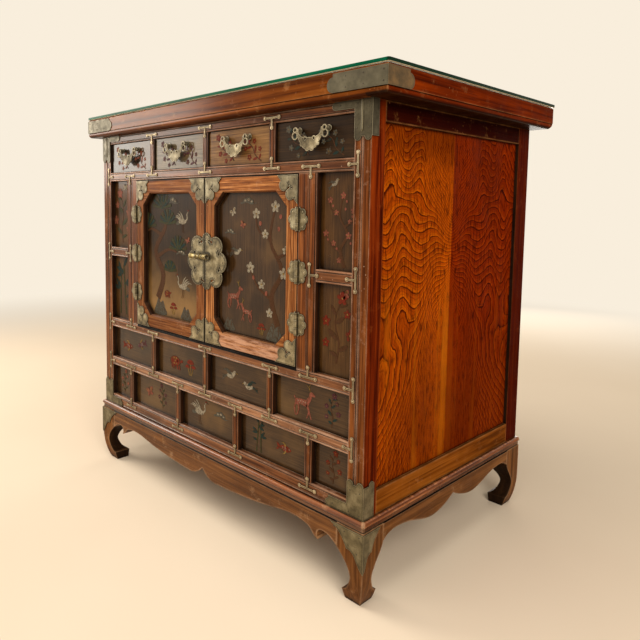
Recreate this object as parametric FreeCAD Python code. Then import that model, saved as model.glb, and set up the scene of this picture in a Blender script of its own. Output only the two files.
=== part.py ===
import FreeCAD, Part
import os
from FreeCAD import Vector

# Low scholar's cabinet: frame-and-panel carcass on a stand with turned-in legs.
# Millimetres, +Z up, front at -Y, origin on the floor under the middle of the top.

# Carcass and stand, overall
CARCASS_W = 760.0
CARCASS_D = 499.0
STAND_H = 138.0

# Heights of the front members and bays, from the bottom up
RAIL_BOTTOM_H = 22.0
ROW_LOWER_H = 70.0
RAIL_LOWER_H = 19.0
ROW_UPPER_H = 71.0
RAIL_SILL_H = 20.0
DOOR_BAY_H = 311.0
RAIL_DRAWER_H = 19.0
DRAWER_BAY_H = 63.0
RAIL_TOP_H = 18.0

# Widths and depths of the frame members
FRAME_T = 24.0
POST_W = 30.5
POST_FRONT_D = 31.0
POST_BACK_D = 43.0
DRAWER_DIVIDER_W = 15.0
ROW_DIVIDER_W = 16.0
COLUMN_W = 70.5
MULLION_W = 39.0
HINGE_STRIP_W = 20.0
CROSS_RAIL_H = 20.0
CROSS_RAIL_UP = 143.0
END_PANEL_W = 73.0
SIDE_RAIL_T = 24.0
SIDE_RAIL_TOP_H = 30.0
SIDE_RAIL_BOTTOM_H = 36.5
BACK_RAIL_T = 20.0
BACK_RAIL_H = 40.0

# Joints and edge beads of the frame
TENON_L = 10.0
TENON_T = 8.0
TENON_SHOULDER = 3.0
JOINT_FIT = 0.1
BEAD_W = 3.2
QUIRK_W = 1.0
POST_BEAD_AT = 12.0

# Panels
PANEL_T = 6.0
PANEL_RECESS = 10.0
GROOVE_D = 5.0
SIDE_PANEL_T = 8.0
SIDE_RECESS = 6.0
BACK_RECESS = 6.0

# Top slab and glass
SLAB_T = 40.0
SLAB_SIDE_OUT = 37.0
SLAB_FRONT_OUT = 17.5
SLAB_BACK_OUT = 16.5
SLAB_BEAD_H = 10.0
SLAB_BEAD_IN = 1.5
SLAB_TOP_ROUND = 2.5
SLAB_BACK_ROUND = 9.0
GLASS_T = 6.0
GLASS_SIDE_OUT = 1.5
GLASS_FRONT_OUT = 1.0
GLASS_BACK_OUT = 4.0
GLASS_CORNER_R = 3.0

# Boards inside
BOTTOM_BOARD_T = 12.0
DUST_BOARD_T = 8.0
SHELF_T = 10.0
SHELF_UP = 146.0
SHELF_SETBACK = 90.0
BATTEN_W = 12.0
BATTEN_H = 16.0
GUIDE_H = 14.0
BOARD_FIT = 0.2

# Drawers
DRAWER_RECESS = 4.0
DRAWER_FRONT_T = 14.0
DRAWER_FRONT_GAP = 1.0
DRAWER_SIDE_GAP = 1.0
DRAWER_RUN_GAP = 0.3
DRAWER_STOP_GAP = 0.3
DRAWER_BOX_H = 46.0
DRAWER_SIDE_T = 8.0
DRAWER_BOTTOM_T = 5.0

# Drawer pulls
PULL_SPREAD = 60.0
PULL_DOWN = 16.5
PULL_AXIS_OUT = 5.2
PULL_BALL_R = 4.0
PULL_BASE_R = 5.0
PULL_BASE_T = 1.2
PULL_NECK_R = 2.2
PULL_PIN_R = 1.2
PULL_PIN_FIT = 0.08
PULL_PLATE_T = 2.0
PULL_PLATE_GAP = 0.3
PULL_LUG_W = 2.4
PULL_LUG_DROP = 7.0
PULL_EYE_R = 4.4
PULL_RING_W = 1.7
PULL_RING_R = 6.2
PULL_CREST_R = 3.8
PULL_DROP = 33.0

# Doors
DOOR_T = 20.0
DOOR_GAP = 0.8
DOOR_MEET_GAP = 2.6
DOOR_FRAME_W = 28.0
DOOR_CHAMFER = 24.0
DOOR_LIP = 2.5
DOOR_PANEL_T = 6.0
DOOR_PANEL_LAP = 8.0

# Face hinges
HINGE_PITCH = 83.5
HINGE_R = 21.0
HINGE_LOBE_R = 6.5
HINGE_H = 36.0
HINGE_BARREL_R = 3.0
HINGE_AXIS_OUT = 3.2
HINGE_PIN_R = 1.4
HINGE_PIN_FIT = 0.06
HINGE_LEAF_IN = 3.6
HINGE_DOOR_KNUCKLE_H = 13.0
HINGE_KNUCKLE_GAP = 0.5

# Lock plate and sliding bar
LOCK_R = 58.0
LOCK_OFF = 5.5
LOCK_LOBE_R = 19.0
LOCK_CROWN_R = 53.0
LOCK_CROWN_LOBE_R = 13.0
LOCK_PIERCE_AT = 39.0
LOCK_PIERCE_R = 2.8
LOCK_PIERCE_L = 9.0
BAR_R = 4.0
BAR_FIT = 0.1
BAR_UP = 8.5
BAR_OUT = 1.6
BAR_TIP_BACK = 1.5
BAR_L = 36.0
BAR_KNOB_R = 5.2
BAR_KNOB_L = 7.0
BAR_KNOB_ROUND = 2.0
STAPLE_W = 4.5
STAPLE_WALL = 1.5
STAPLE_FOOT_H = 7.0
STAPLE_INNER_BACK = 5.5
STAPLE_OUTER_BACK = 15.0
KEEPER_AT = 2.5
KEEPER_W = 12.0

# Metal plate work
PLATE_T = 1.5
BRACE_BAR_L = 39.0
BRACE_STEM_L = 19.0
BRACE_W = 3.0
BRACE_END_R = 3.2
BRACE_POST_IN = 7.5
BRACE_MULLION_IN = 13.0
ORNAMENT_L = 46.0
ORNAMENT_LOBE_R = 9.5
ORNAMENT_PIERCE_R = 1.5
ORNAMENT_EDGE = 1.0
TOP_BRACKET_ARM_L = 36.0
TOP_BRACKET_ARM_H = 12.0
TOP_BRACKET_DROP = 52.0
TOP_BRACKET_SIDE = 14.0
FOOT_BRACKET_ARM_L = 36.0
FOOT_BRACKET_ARM_H = 17.0
FOOT_BRACKET_RISE = 50.0
FOOT_BRACKET_SIDE = 24.0
BRACKET_LOBE_R = 6.0
SLAB_MOUNT_FRONT_L = 95.0
SLAB_MOUNT_SIDE_L = 50.0
SLAB_MOUNT_LOBE_R = 11.0
SLAB_MOUNT_TOP_GAP = 3.0
LEG_MOUNT_FRONT_L = 64.0
LEG_MOUNT_SIDE_L = 42.0
LEG_MOUNT_H = 60.0
LEG_MOUNT_TOP_GAP = 2.0

# Waist moulding
WAIST_H = 15.5
WAIST_OUT = 7.5
WAIST_BEAD_H = 9.0
WAIST_FILLET_IN = 2.5
WAIST_BOARD_W = 60.0

# Stand: legs and aprons
STAND_OUT = 6.5
STAND_BACK_OUT = 3.0
LEG_BLOCK = 50.0
LEG_NECK_W = 24.0
LEG_NECK_Z = 47.0
LEG_KNEE_FRONT_DROP = 38.5
LEG_KNEE_SIDE_DROP = 28.5
LEG_CURVE_Z = 63.0
FOOT_IN = 13.0
TOE_IN = 43.0
HEEL_BACK_IN = 3.0
TOE_BACK_IN = 37.0
TOE_TOP_Z = 18.0
TOE_BEVEL = 1.5
APRON_T = 22.0
APRON_ARCH_DROP = 25.5
APRON_LOBE_DROP = 43.5
APRON_LOBE_AT = 45.0
SPUR_AT = 38.0
SPUR_W = 26.0
SPUR_DROP = 44.0
SIDE_ARCH_DROP = 18.5
SIDE_LOBE_DROP = 36.5
BACK_APRON_H = 25.5
APRON_TENON_L = 14.0
APRON_TENON_T = 10.0
APRON_TENON_H = 14.0

# Places that follow from the sizes above
HALF_W = CARCASS_W / 2
X_POST = HALF_W - POST_W
X_COLUMN = X_POST - COLUMN_W
X_DOOR = X_COLUMN - MULLION_W
TOTAL_D = GLASS_FRONT_OUT + SLAB_FRONT_OUT + CARCASS_D + SLAB_BACK_OUT + GLASS_BACK_OUT
Y_FRONT = -TOTAL_D / 2 + GLASS_FRONT_OUT + SLAB_FRONT_OUT
Y_BACK = Y_FRONT + CARCASS_D
Y_PLATE = Y_FRONT - PLATE_T
Z_ROW_LOWER = STAND_H + RAIL_BOTTOM_H
Z_RAIL_LOWER = Z_ROW_LOWER + ROW_LOWER_H
Z_ROW_UPPER = Z_RAIL_LOWER + RAIL_LOWER_H
Z_SILL = Z_ROW_UPPER + ROW_UPPER_H
Z_DOORS = Z_SILL + RAIL_SILL_H
Z_RAIL_DRAWER = Z_DOORS + DOOR_BAY_H
Z_DRAWERS = Z_RAIL_DRAWER + RAIL_DRAWER_H
Z_RAIL_TOP = Z_DRAWERS + DRAWER_BAY_H
Z_SLAB = Z_RAIL_TOP + RAIL_TOP_H
Z_GLASS = Z_SLAB + SLAB_T
Z_CROSS = Z_DOORS + CROSS_RAIL_UP
Z_LOCK = Z_DOORS + DOOR_BAY_H / 2
Z_WAIST = STAND_H - WAIST_H
LEG_KNEE_FRONT_Z = Z_WAIST - LEG_KNEE_FRONT_DROP
LEG_KNEE_SIDE_Z = Z_WAIST - LEG_KNEE_SIDE_DROP
APRON_ARCH_Z = Z_WAIST - APRON_ARCH_DROP
APRON_LOBE_Z = Z_WAIST - APRON_LOBE_DROP
SPUR_Z = Z_WAIST - SPUR_DROP
SIDE_ARCH_Z = Z_WAIST - SIDE_ARCH_DROP
SIDE_LOBE_Z = Z_WAIST - SIDE_LOBE_DROP
BACK_APRON_Z = Z_WAIST - BACK_APRON_H
DRAWER_BAY_W = (2 * X_POST - 3 * DRAWER_DIVIDER_W) / 4
DRAWER_PITCH = DRAWER_BAY_W + DRAWER_DIVIDER_W
UPPER_PANEL_W = (2 * X_POST - 3 * ROW_DIVIDER_W) / 4
UPPER_PITCH = UPPER_PANEL_W + ROW_DIVIDER_W
X_LOWER_OUTER = X_POST - END_PANEL_W - ROW_DIVIDER_W / 2
LOWER_PITCH = 2 * X_LOWER_OUTER / 3
X_STAND = HALF_W + STAND_OUT
Y_STAND_FRONT = Y_FRONT - STAND_OUT
Y_STAND_BACK = Y_BACK + STAND_BACK_OUT
Y_STAND_MID = (Y_STAND_FRONT + Y_STAND_BACK) / 2
X_SIDE_INNER = HALF_W - SIDE_RECESS - SIDE_PANEL_T
Y_BACK_RAIL = Y_BACK - BACK_RAIL_T
Y_BACK_PANEL = Y_BACK - BACK_RECESS - PANEL_T

ALONG_X = Vector(1, 0, 0)
ALONG_Y = Vector(0, 1, 0)
ALONG_Z = Vector(0, 0, 1)
ORIGIN = Vector(0, 0, 0)


def box(x0, x1, y0, y1, z0, z1):
    return Part.makeBox(x1 - x0, y1 - y0, z1 - z0, Vector(x0, y0, z0))


def disc(x, z, radius, y0, y1):
    return Part.makeCylinder(radius, y1 - y0, Vector(x, y0, z), ALONG_Y)


def join(shapes):
    return shapes[0].multiFuse(shapes[1:]).removeSplitter()


def mirrored(shape):
    return shape.mirror(ORIGIN, ALONG_X)


def both_sides(shape):
    return [mirrored(shape), shape]


def prism(strokes, plane, near, far):
    """A solid from a closed outline: two points make a line, three an arc, more a smooth curve."""
    place = {
        "front": lambda a, b: Vector(a, near, b),
        "side": lambda a, b: Vector(near, a, b),
        "plan": lambda a, b: Vector(a, b, near),
    }[plane]
    normal = {"front": ALONG_Y, "side": ALONG_X, "plan": ALONG_Z}[plane]
    edges = []
    for stroke in strokes:
        points = [place(a, b) for a, b in stroke]
        if len(points) == 2:
            edges.append(Part.makeLine(points[0], points[1]))
        elif len(points) == 3:
            edges.append(Part.Arc(points[0], points[1], points[2]).toShape())
        else:
            curve = Part.BSplineCurve()
            curve.interpolate(points)
            edges.append(curve.toShape())
    return Part.Face(Part.Wire(edges)).extrude(normal * (far - near))


def polygon(points, plane, near, far):
    closed = points + points[:1]
    return prism(list(zip(closed, closed[1:])), plane, near, far)


def grown(block, amount):
    """The bounding box of a block, enlarged all round: the cutter for its seat."""
    b = block.BoundBox
    return box(b.XMin - amount, b.XMax + amount, b.YMin - amount, b.YMax + amount,
               b.ZMin - amount, b.ZMax + amount)


def seated(shape, blocks):
    """Cut the seats of those blocks that reach into a shape."""
    cutters = [grown(block, JOINT_FIT) for block in blocks]
    near = [cutter for cutter in cutters if cutter.BoundBox.intersect(shape.BoundBox)]
    return shape.cut(near) if near else shape


# Front frame: each member with its tenons

def beaded_bar(a0, a1, plane, near, far):
    """A bar with a half-round bead and a quirk along both front edges."""
    r = BEAD_W / 2
    y0 = Y_FRONT
    y1 = Y_FRONT + FRAME_T
    b0 = a0 + BEAD_W
    b1 = a1 - BEAD_W
    strokes = [
        [(a0, y1), (a0, y0 + r)],
        [(a0, y0 + r), (a0 + r, y0), (b0, y0 + r)],
        [(b0, y0 + r), (b0 + QUIRK_W, y0)],
        [(b0 + QUIRK_W, y0), (b1 - QUIRK_W, y0)],
        [(b1 - QUIRK_W, y0), (b1, y0 + r)],
        [(b1, y0 + r), (a1 - r, y0), (a1, y0 + r)],
        [(a1, y0 + r), (a1, y1)],
        [(a1, y1), (a0, y1)],
    ]
    if plane == "side":
        strokes = [[(b, a) for a, b in stroke] for stroke in strokes]
    return prism(strokes, plane, near, far)


def front_bar(x0, x1, z0, z1, along):
    """A beaded front member and its two tenons."""
    y0 = Y_FRONT + (FRAME_T - TENON_T) / 2
    y1 = y0 + TENON_T
    s = TENON_SHOULDER
    if along == "x":
        body = beaded_bar(z0, z1, "side", x0, x1)
        tenons = [box(x0 - TENON_L, x0, y0, y1, z0 + s, z1 - s),
                  box(x1, x1 + TENON_L, y0, y1, z0 + s, z1 - s)]
    else:
        body = beaded_bar(x0, x1, "plan", z0, z1)
        tenons = [box(x0 + s, x1 - s, y0, y1, z0 - TENON_L, z0),
                  box(x0 + s, x1 - s, y0, y1, z1, z1 + TENON_L)]
    return join([body] + tenons), tenons


def upright(x, width, z0, z1):
    return front_bar(x - width / 2, x + width / 2, z0, z1, "z")


def mullion(side):
    """Beaded upright beside a door, with the flat strip that carries the hinges."""
    x0 = X_DOOR + HINGE_STRIP_W
    body, tenons = front_bar(x0, X_COLUMN, Z_DOORS, Z_RAIL_DRAWER, "z")
    strip = box(X_DOOR, x0, Y_FRONT, Y_FRONT + FRAME_T, Z_DOORS, Z_RAIL_DRAWER)
    body = join([body, strip])
    if side < 0:
        return mirrored(body), [mirrored(tenon) for tenon in tenons]
    return body, tenons


def cross_rail(side):
    ends = sorted([side * X_COLUMN, side * X_POST])
    return front_bar(ends[0], ends[1], Z_CROSS, Z_CROSS + CROSS_RAIL_H, "x")


RAIL_LEVELS = {
    "rail_top": (Z_RAIL_TOP, Z_SLAB),
    "rail_drawer": (Z_RAIL_DRAWER, Z_DRAWERS),
    "rail_sill": (Z_SILL, Z_DOORS),
    "rail_lower": (Z_RAIL_LOWER, Z_ROW_UPPER),
    "rail_bottom": (STAND_H, Z_ROW_LOWER),
}
rails = {name: front_bar(-X_POST, X_POST, z0, z1, "x") for name, (z0, z1) in RAIL_LEVELS.items()}
drawer_divider_x = [-DRAWER_PITCH, 0, DRAWER_PITCH]
upper_divider_x = [-UPPER_PITCH, 0, UPPER_PITCH]
lower_divider_x = [-X_LOWER_OUTER + i * LOWER_PITCH for i in range(4)]
drawer_dividers = [upright(x, DRAWER_DIVIDER_W, Z_DRAWERS, Z_RAIL_TOP) for x in drawer_divider_x]
upper_dividers = [upright(x, ROW_DIVIDER_W, Z_ROW_UPPER, Z_SILL) for x in upper_divider_x]
lower_dividers = [upright(x, ROW_DIVIDER_W, Z_ROW_LOWER, Z_RAIL_LOWER) for x in lower_divider_x]
mullions = [mullion(side) for side in (-1, 1)]
cross_rails = [cross_rail(side) for side in (-1, 1)]


# Panels held in grooves

def front_panel(x0, x1, z0, z1):
    y0 = Y_FRONT + PANEL_RECESS
    return box(x0 - GROOVE_D, x1 + GROOVE_D, y0, y0 + PANEL_T, z0 - GROOVE_D, z1 + GROOVE_D)


def panel_row(divider_x, z0, z1):
    half = ROW_DIVIDER_W / 2
    starts = [-X_POST] + [x + half for x in divider_x]
    ends = [x - half for x in divider_x] + [X_POST]
    return [front_panel(x0, x1, z0, z1) for x0, x1 in zip(starts, ends)]


column_panels = []
for z0, z1 in ((Z_DOORS, Z_CROSS), (Z_CROSS + CROSS_RAIL_H, Z_RAIL_DRAWER)):
    column_panels += both_sides(front_panel(X_COLUMN, X_POST, z0, z1))
row_panels = panel_row(upper_divider_x, Z_ROW_UPPER, Z_SILL)
row_panels += panel_row(lower_divider_x, Z_ROW_LOWER, Z_RAIL_LOWER)

y_side0 = Y_FRONT + POST_FRONT_D
y_side1 = Y_BACK - POST_BACK_D
z_side0 = STAND_H + SIDE_RAIL_BOTTOM_H
z_side1 = Z_SLAB - SIDE_RAIL_TOP_H
side_panels = both_sides(box(X_SIDE_INNER, X_SIDE_INNER + SIDE_PANEL_T,
                             y_side0 - GROOVE_D, y_side1 + GROOVE_D,
                             z_side0 - GROOVE_D, z_side1 + GROOVE_D))
back_panel = box(-X_POST - GROOVE_D, X_POST + GROOVE_D, Y_BACK_PANEL, Y_BACK_PANEL + PANEL_T,
                 STAND_H + BACK_RAIL_H - GROOVE_D, Z_SLAB - BACK_RAIL_H + GROOVE_D)
all_panels = column_panels + row_panels + side_panels + [back_panel]


# Side and back rails

def side_rail(z0, z1):
    x0 = HALF_W - SIDE_RAIL_T
    xt = x0 + (SIDE_RAIL_T - TENON_T) / 2
    s = TENON_SHOULDER
    tenons = [box(xt, xt + TENON_T, y_side0 - TENON_L, y_side0, z0 + s, z1 - s),
              box(xt, xt + TENON_T, y_side1, y_side1 + TENON_L, z0 + s, z1 - s)]
    return join([box(x0, HALF_W, y_side0, y_side1, z0, z1)] + tenons), tenons


def back_rail(z0, z1):
    yt = Y_BACK_RAIL + (BACK_RAIL_T - TENON_T) / 2
    s = TENON_SHOULDER
    tenons = [box(-X_POST - TENON_L, -X_POST, yt, yt + TENON_T, z0 + s, z1 - s),
              box(X_POST, X_POST + TENON_L, yt, yt + TENON_T, z0 + s, z1 - s)]
    return join([box(-X_POST, X_POST, Y_BACK_RAIL, Y_BACK, z0, z1)] + tenons), tenons


right_side_rails = [side_rail(STAND_H, z_side0), side_rail(z_side1, Z_SLAB)]
back_rails = [back_rail(STAND_H, STAND_H + BACK_RAIL_H), back_rail(Z_SLAB - BACK_RAIL_H, Z_SLAB)]


# Posts take the tenons of the rails

def front_post():
    """Corner post with one bead run down its front between two quirks."""
    r = BEAD_W / 2
    y0 = Y_FRONT
    y1 = Y_FRONT + POST_FRONT_D
    b0 = X_POST + POST_BEAD_AT
    b1 = b0 + BEAD_W
    strokes = [
        [(X_POST, y1), (X_POST, y0)],
        [(X_POST, y0), (b0 - QUIRK_W, y0)],
        [(b0 - QUIRK_W, y0), (b0, y0 + r)],
        [(b0, y0 + r), (b0 + r, y0), (b1, y0 + r)],
        [(b1, y0 + r), (b1 + QUIRK_W, y0)],
        [(b1 + QUIRK_W, y0), (HALF_W, y0)],
        [(HALF_W, y0), (HALF_W, y1)],
        [(HALF_W, y1), (X_POST, y1)],
    ]
    return prism(strokes, "plan", STAND_H, Z_SLAB)


def back_post():
    return box(X_POST, HALF_W, Y_BACK - POST_BACK_D, Y_BACK, STAND_H, Z_SLAB)


frame_bars = list(rails.values()) + drawer_dividers + upper_dividers + lower_dividers
frame_bars += mullions + cross_rails
all_tenons = [tenon for _, tenons in frame_bars + right_side_rails + back_rails for tenon in tenons]
post_seats = all_tenons + all_panels


def framed(bars):
    """Bars with the grooves of the panels they hold."""
    return [seated(body, all_panels) for body, _ in bars]


def rail_with_mortises(name):
    body, own = rails[name]
    others = [tenon for tenon in all_tenons if not any(tenon.isSame(mine) for mine in own)]
    return seated(body, others + all_panels)


def mullion_with_mortises(bar):
    body, _ = bar
    cross = [tenon for _, tenons in cross_rails for tenon in tenons]
    return seated(body, cross + all_panels)


# Top slab and glass

def slab():
    """Square face over a bead along the front and ends; plain rounded back edge."""
    z_bead = Z_SLAB + SLAB_BEAD_H
    z_round = Z_GLASS - SLAB_TOP_ROUND
    y0 = Y_FRONT - SLAB_FRONT_OUT
    y1 = Y_BACK + SLAB_BACK_OUT
    x1 = HALF_W + SLAB_SIDE_OUT

    def edge(at, inward):
        bead_top = (at + inward * SLAB_BEAD_IN, z_bead)
        bead_mid = (at + inward * SLAB_BEAD_IN / 3, Z_SLAB + SLAB_BEAD_H / 2)
        bead_foot = (at + inward * SLAB_BEAD_H / 2, Z_SLAB)
        step = (at, z_bead)
        shoulder = (at, z_round)
        crown = (at + inward * SLAB_TOP_ROUND, Z_GLASS)
        return [[bead_foot, bead_mid, bead_top], [bead_top, step], [step, shoulder], [shoulder, crown]]

    def back_edge(at):
        foot = (at - SLAB_BACK_ROUND, Z_SLAB)
        belly = (at, Z_SLAB + SLAB_BACK_ROUND)
        shoulder = (at, z_round)
        crown = (at - SLAB_TOP_ROUND, Z_GLASS)
        return [[foot, belly], [belly, shoulder], [shoulder, crown]]

    def closed(first, second):
        back = [stroke[::-1] for stroke in second[::-1]]
        return first + [[first[-1][-1], back[0][0]]] + back + [[back[-1][-1], first[0][0]]]

    lengthways = prism(closed(edge(y0, 1), back_edge(y1)), "side", -x1, x1)
    crossways = prism(closed(edge(-x1, 1), edge(x1, -1)), "front", y0, y1)
    return lengthways.common(crossways)


def glass():
    x1 = HALF_W + SLAB_SIDE_OUT + GLASS_SIDE_OUT
    plate = box(-x1, x1, -TOTAL_D / 2, TOTAL_D / 2, Z_GLASS, Z_GLASS + GLASS_T)
    corners = [edge for edge in plate.Edges if abs(edge.tangentAt(edge.FirstParameter).z) > 0.5]
    return plate.makeFillet(GLASS_CORNER_R, corners)


# Boards inside the carcass

y_behind_frame = Y_FRONT + FRAME_T
posts_right = [front_post(), back_post()]
corner_posts = [post for shape in posts_right for post in both_sides(shape)]


def board(half_width, y0, y1, z0, thickness):
    """A level board, notched round the corner posts."""
    x1 = half_width - BOARD_FIT
    return seated(box(-x1, x1, y0, y1, z0, z0 + thickness), corner_posts)


bottom_board = board(HALF_W - SIDE_RAIL_T, y_behind_frame, Y_BACK_RAIL, STAND_H, BOTTOM_BOARD_T)
dust_board = board(X_SIDE_INNER, y_behind_frame, Y_BACK_PANEL - BOARD_FIT,
                   Z_DRAWERS - DUST_BOARD_T, DUST_BOARD_T)
z_shelf = Z_DOORS + SHELF_UP
shelf = board(X_SIDE_INNER, Y_FRONT + SHELF_SETBACK, Y_BACK_PANEL - BOARD_FIT, z_shelf, SHELF_T)


def batten(z_top):
    return box(X_SIDE_INNER - BATTEN_W, X_SIDE_INNER, y_side0, y_side1, z_top - BATTEN_H, z_top)


battens = both_sides(batten(Z_DRAWERS - DUST_BOARD_T)) + both_sides(batten(z_shelf))
drawer_guides = [box(x - DRAWER_DIVIDER_W / 2, x + DRAWER_DIVIDER_W / 2, y_behind_frame, Y_BACK_RAIL,
                     Z_DRAWERS, Z_DRAWERS + GUIDE_H) for x in drawer_divider_x]
drawer_guides += both_sides(box(X_POST, X_SIDE_INNER - BOARD_FIT, y_side0, y_side1,
                                Z_DRAWERS, Z_DRAWERS + GUIDE_H))


# Drawers and their pulls

drawer_x = [(i - 1.5) * DRAWER_PITCH for i in range(4)]
y_drawer = Y_FRONT + DRAWER_RECESS
y_pull = y_drawer - PULL_AXIS_OUT
z_pull = Z_RAIL_TOP - PULL_DOWN


def drawer_front(x):
    half = DRAWER_BAY_W / 2 - DRAWER_FRONT_GAP
    return box(x - half, x + half, y_drawer, y_drawer + DRAWER_FRONT_T,
               Z_DRAWERS + DRAWER_FRONT_GAP, Z_RAIL_TOP - DRAWER_FRONT_GAP)


def drawer_box(x):
    """Two sides, a back and a bottom, behind the drawer front."""
    half = DRAWER_BAY_W / 2 - DRAWER_SIDE_GAP
    inner = half - DRAWER_SIDE_T
    y0 = y_drawer + DRAWER_FRONT_T
    y1 = Y_BACK_RAIL - DRAWER_STOP_GAP
    z0 = Z_DRAWERS + DRAWER_RUN_GAP
    z1 = z0 + DRAWER_BOX_H
    return [
        box(x - half, x - inner, y0, y1, z0, z1),
        box(x + inner, x + half, y0, y1, z0, z1),
        box(x - inner, x + inner, y1 - DRAWER_SIDE_T, y1, z0, z1),
        box(x - inner, x + inner, y0, y1 - DRAWER_SIDE_T, z0, z0 + DRAWER_BOTTOM_T),
    ]


def pull_post(x):
    """Ball-headed post with a cross bore for the pin of the bail."""
    base = disc(x, z_pull, PULL_BASE_R, y_drawer - PULL_BASE_T, y_drawer)
    neck = disc(x, z_pull, PULL_NECK_R, y_pull, y_drawer)
    ball = Part.makeSphere(PULL_BALL_R, Vector(x, y_pull, z_pull))
    bore = Part.makeCylinder(PULL_PIN_R + PULL_PIN_FIT, 2 * PULL_BASE_R,
                             Vector(x - PULL_BASE_R, y_pull, z_pull), ALONG_X)
    return join([base, neck, ball]).cut(bore)


def pull_bail(x):
    """Bat-shaped drop plate with an eye over each post and a pin into each ball."""
    y1 = y_pull - PULL_BALL_R - PULL_PLATE_GAP
    y0 = y1 - PULL_PLATE_T
    spread = PULL_SPREAD / 2

    def at(u, v):
        return u * spread, z_pull - v * PULL_DROP

    wing = [
        [at(0, 0.9), at(0.18, 1.0), at(0.3, 0.87)],
        [at(0.3, 0.87), at(0.43, 0.85), at(0.48, 0.75)],
        [at(0.48, 0.75), at(0.62, 0.74), at(0.62, 0.62)],
        [at(0.62, 0.62), at(0.8, 0.36), at(0.93, 0.08)],
        [at(0.93, 0.08), at(0.84, 0.07)],
        [at(0.84, 0.07), at(0.62, 0.29), at(0.3, 0.39)],
        [at(0.3, 0.39), at(0, 0.38)],
    ]
    left = [[(-a, b) for a, b in stroke[::-1]] for stroke in wing[::-1]]
    loops = [(at(side * u, v), radius) for side in (-1, 1)
             for u, v, radius in ((1, 0, PULL_EYE_R), (1.03, 0.26, PULL_RING_R), (0.3, 0.44, PULL_CREST_R))]
    plate = join([prism(wing + left, "front", y0, y1)] + [disc(*c, r, y0, y1) for c, r in loops])
    shapes = [plate.cut([disc(*c, r - PULL_RING_W, y0, y1) for c, r in loops])]
    lug_inner = spread - PULL_BALL_R - PULL_PLATE_GAP - PULL_LUG_W
    lug_low = z_pull - PULL_LUG_DROP
    for side in (-1, 1):
        near, far = sorted([side * lug_inner, side * (lug_inner + PULL_LUG_W)])
        shapes.append(box(near, far, y0, y_pull + PULL_PIN_R, lug_low, z_pull + PULL_PIN_R))
        start = min(side * lug_inner, side * (spread + PULL_PIN_R))
        length = spread + PULL_PIN_R - lug_inner
        shapes.append(Part.makeCylinder(PULL_PIN_R, length, Vector(start, y_pull, z_pull), ALONG_X))
    bail = join(shapes)
    bail.translate(Vector(x, 0, 0))
    return bail


# Doors, built for the right and mirrored for the left

z_door0 = Z_DOORS + DOOR_GAP
z_door1 = Z_RAIL_DRAWER - DOOR_GAP
x_door0 = DOOR_MEET_GAP / 2
x_door1 = X_DOOR - DOOR_GAP
y_lap = Y_FRONT + PANEL_RECESS


def door_frame():
    """Frame with a bevelled eight-sided opening, rebated from behind for its panel."""
    x0 = x_door0 + DOOR_FRAME_W
    x1 = x_door1 - DOOR_FRAME_W
    z0 = z_door0 + DOOR_FRAME_W
    z1 = z_door1 - DOOR_FRAME_W
    c = DOOR_CHAMFER
    opening = polygon([(x0 + c, z0), (x1 - c, z0), (x1, z0 + c), (x1, z1 - c),
                       (x1 - c, z1), (x0 + c, z1), (x0, z1 - c), (x0, z0 + c)],
                      "front", Y_FRONT, Y_FRONT + DOOR_T)
    lap = DOOR_PANEL_LAP
    rebate = box(x0 - lap, x1 + lap, y_lap, Y_FRONT + DOOR_T, z0 - lap, z1 + lap)
    panel = box(x0 - lap + BOARD_FIT, x1 + lap - BOARD_FIT, y_lap, y_lap + DOOR_PANEL_T,
                z0 - lap + BOARD_FIT, z1 + lap - BOARD_FIT)
    frame = box(x_door0, x_door1, Y_FRONT, Y_FRONT + DOOR_T, z_door0, z_door1).cut([opening, rebate])
    lip = [edge for edge in frame.Edges
           if edge.BoundBox.YMax < Y_FRONT + JOINT_FIT
           and edge.BoundBox.XMin > x0 - JOINT_FIT and edge.BoundBox.XMax < x1 + JOINT_FIT
           and edge.BoundBox.ZMin > z0 - JOINT_FIT and edge.BoundBox.ZMax < z1 + JOINT_FIT]
    return frame.makeChamfer(DOOR_LIP, lip), panel


def corner_ornament(x, z, toward_x, toward_z):
    """Pierced corner plate with two cloud lobes along its long side."""
    size = ORNAMENT_L
    lobe = ORNAMENT_LOBE_R
    y0, y1 = Y_PLATE, Y_FRONT

    def at(a, b):
        return x + toward_x * (a + ORNAMENT_EDGE), z + toward_z * (b + ORNAMENT_EDGE)

    plate = polygon([at(0, 0), at(size, 0), at(size - lobe, lobe), at(size * 0.4, size * 0.4),
                     at(lobe, size - lobe), at(0, size)], "front", y0, y1)
    lobes = [disc(*at(size - 1.6 * lobe, 1.7 * lobe), lobe, y0, y1),
             disc(*at(1.7 * lobe, size - 1.6 * lobe), lobe, y0, y1)]
    pierced = [disc(*at(size * 0.45, size * 0.29), ORNAMENT_PIERCE_R, y0, y1),
               disc(*at(size * 0.41, size * 0.35), ORNAMENT_PIERCE_R, y0, y1),
               disc(*at(size * 0.29, size * 0.45), ORNAMENT_PIERCE_R, y0, y1),
               disc(*at(size * 0.35, size * 0.41), ORNAMENT_PIERCE_R, y0, y1)]
    return join([plate] + lobes).cut(pierced)


def lobed_plate(x, z, radius, lobe_radius, crown=None):
    """Round plate with eight lobes; crown is the reach and radius of the top and bottom ones, if they differ."""
    shapes = [disc(x, z, radius - lobe_radius, Y_PLATE, Y_FRONT)]
    for i in range(8):
        reach, lobe = crown if crown and i in (2, 6) else (radius, lobe_radius)
        turned = FreeCAD.Rotation(ALONG_Y, 45 * i).multVec(Vector(reach - lobe, 0, 0))
        shapes.append(disc(x + turned.x, z + turned.z, lobe, Y_PLATE, Y_FRONT))
    return join(shapes)


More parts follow.
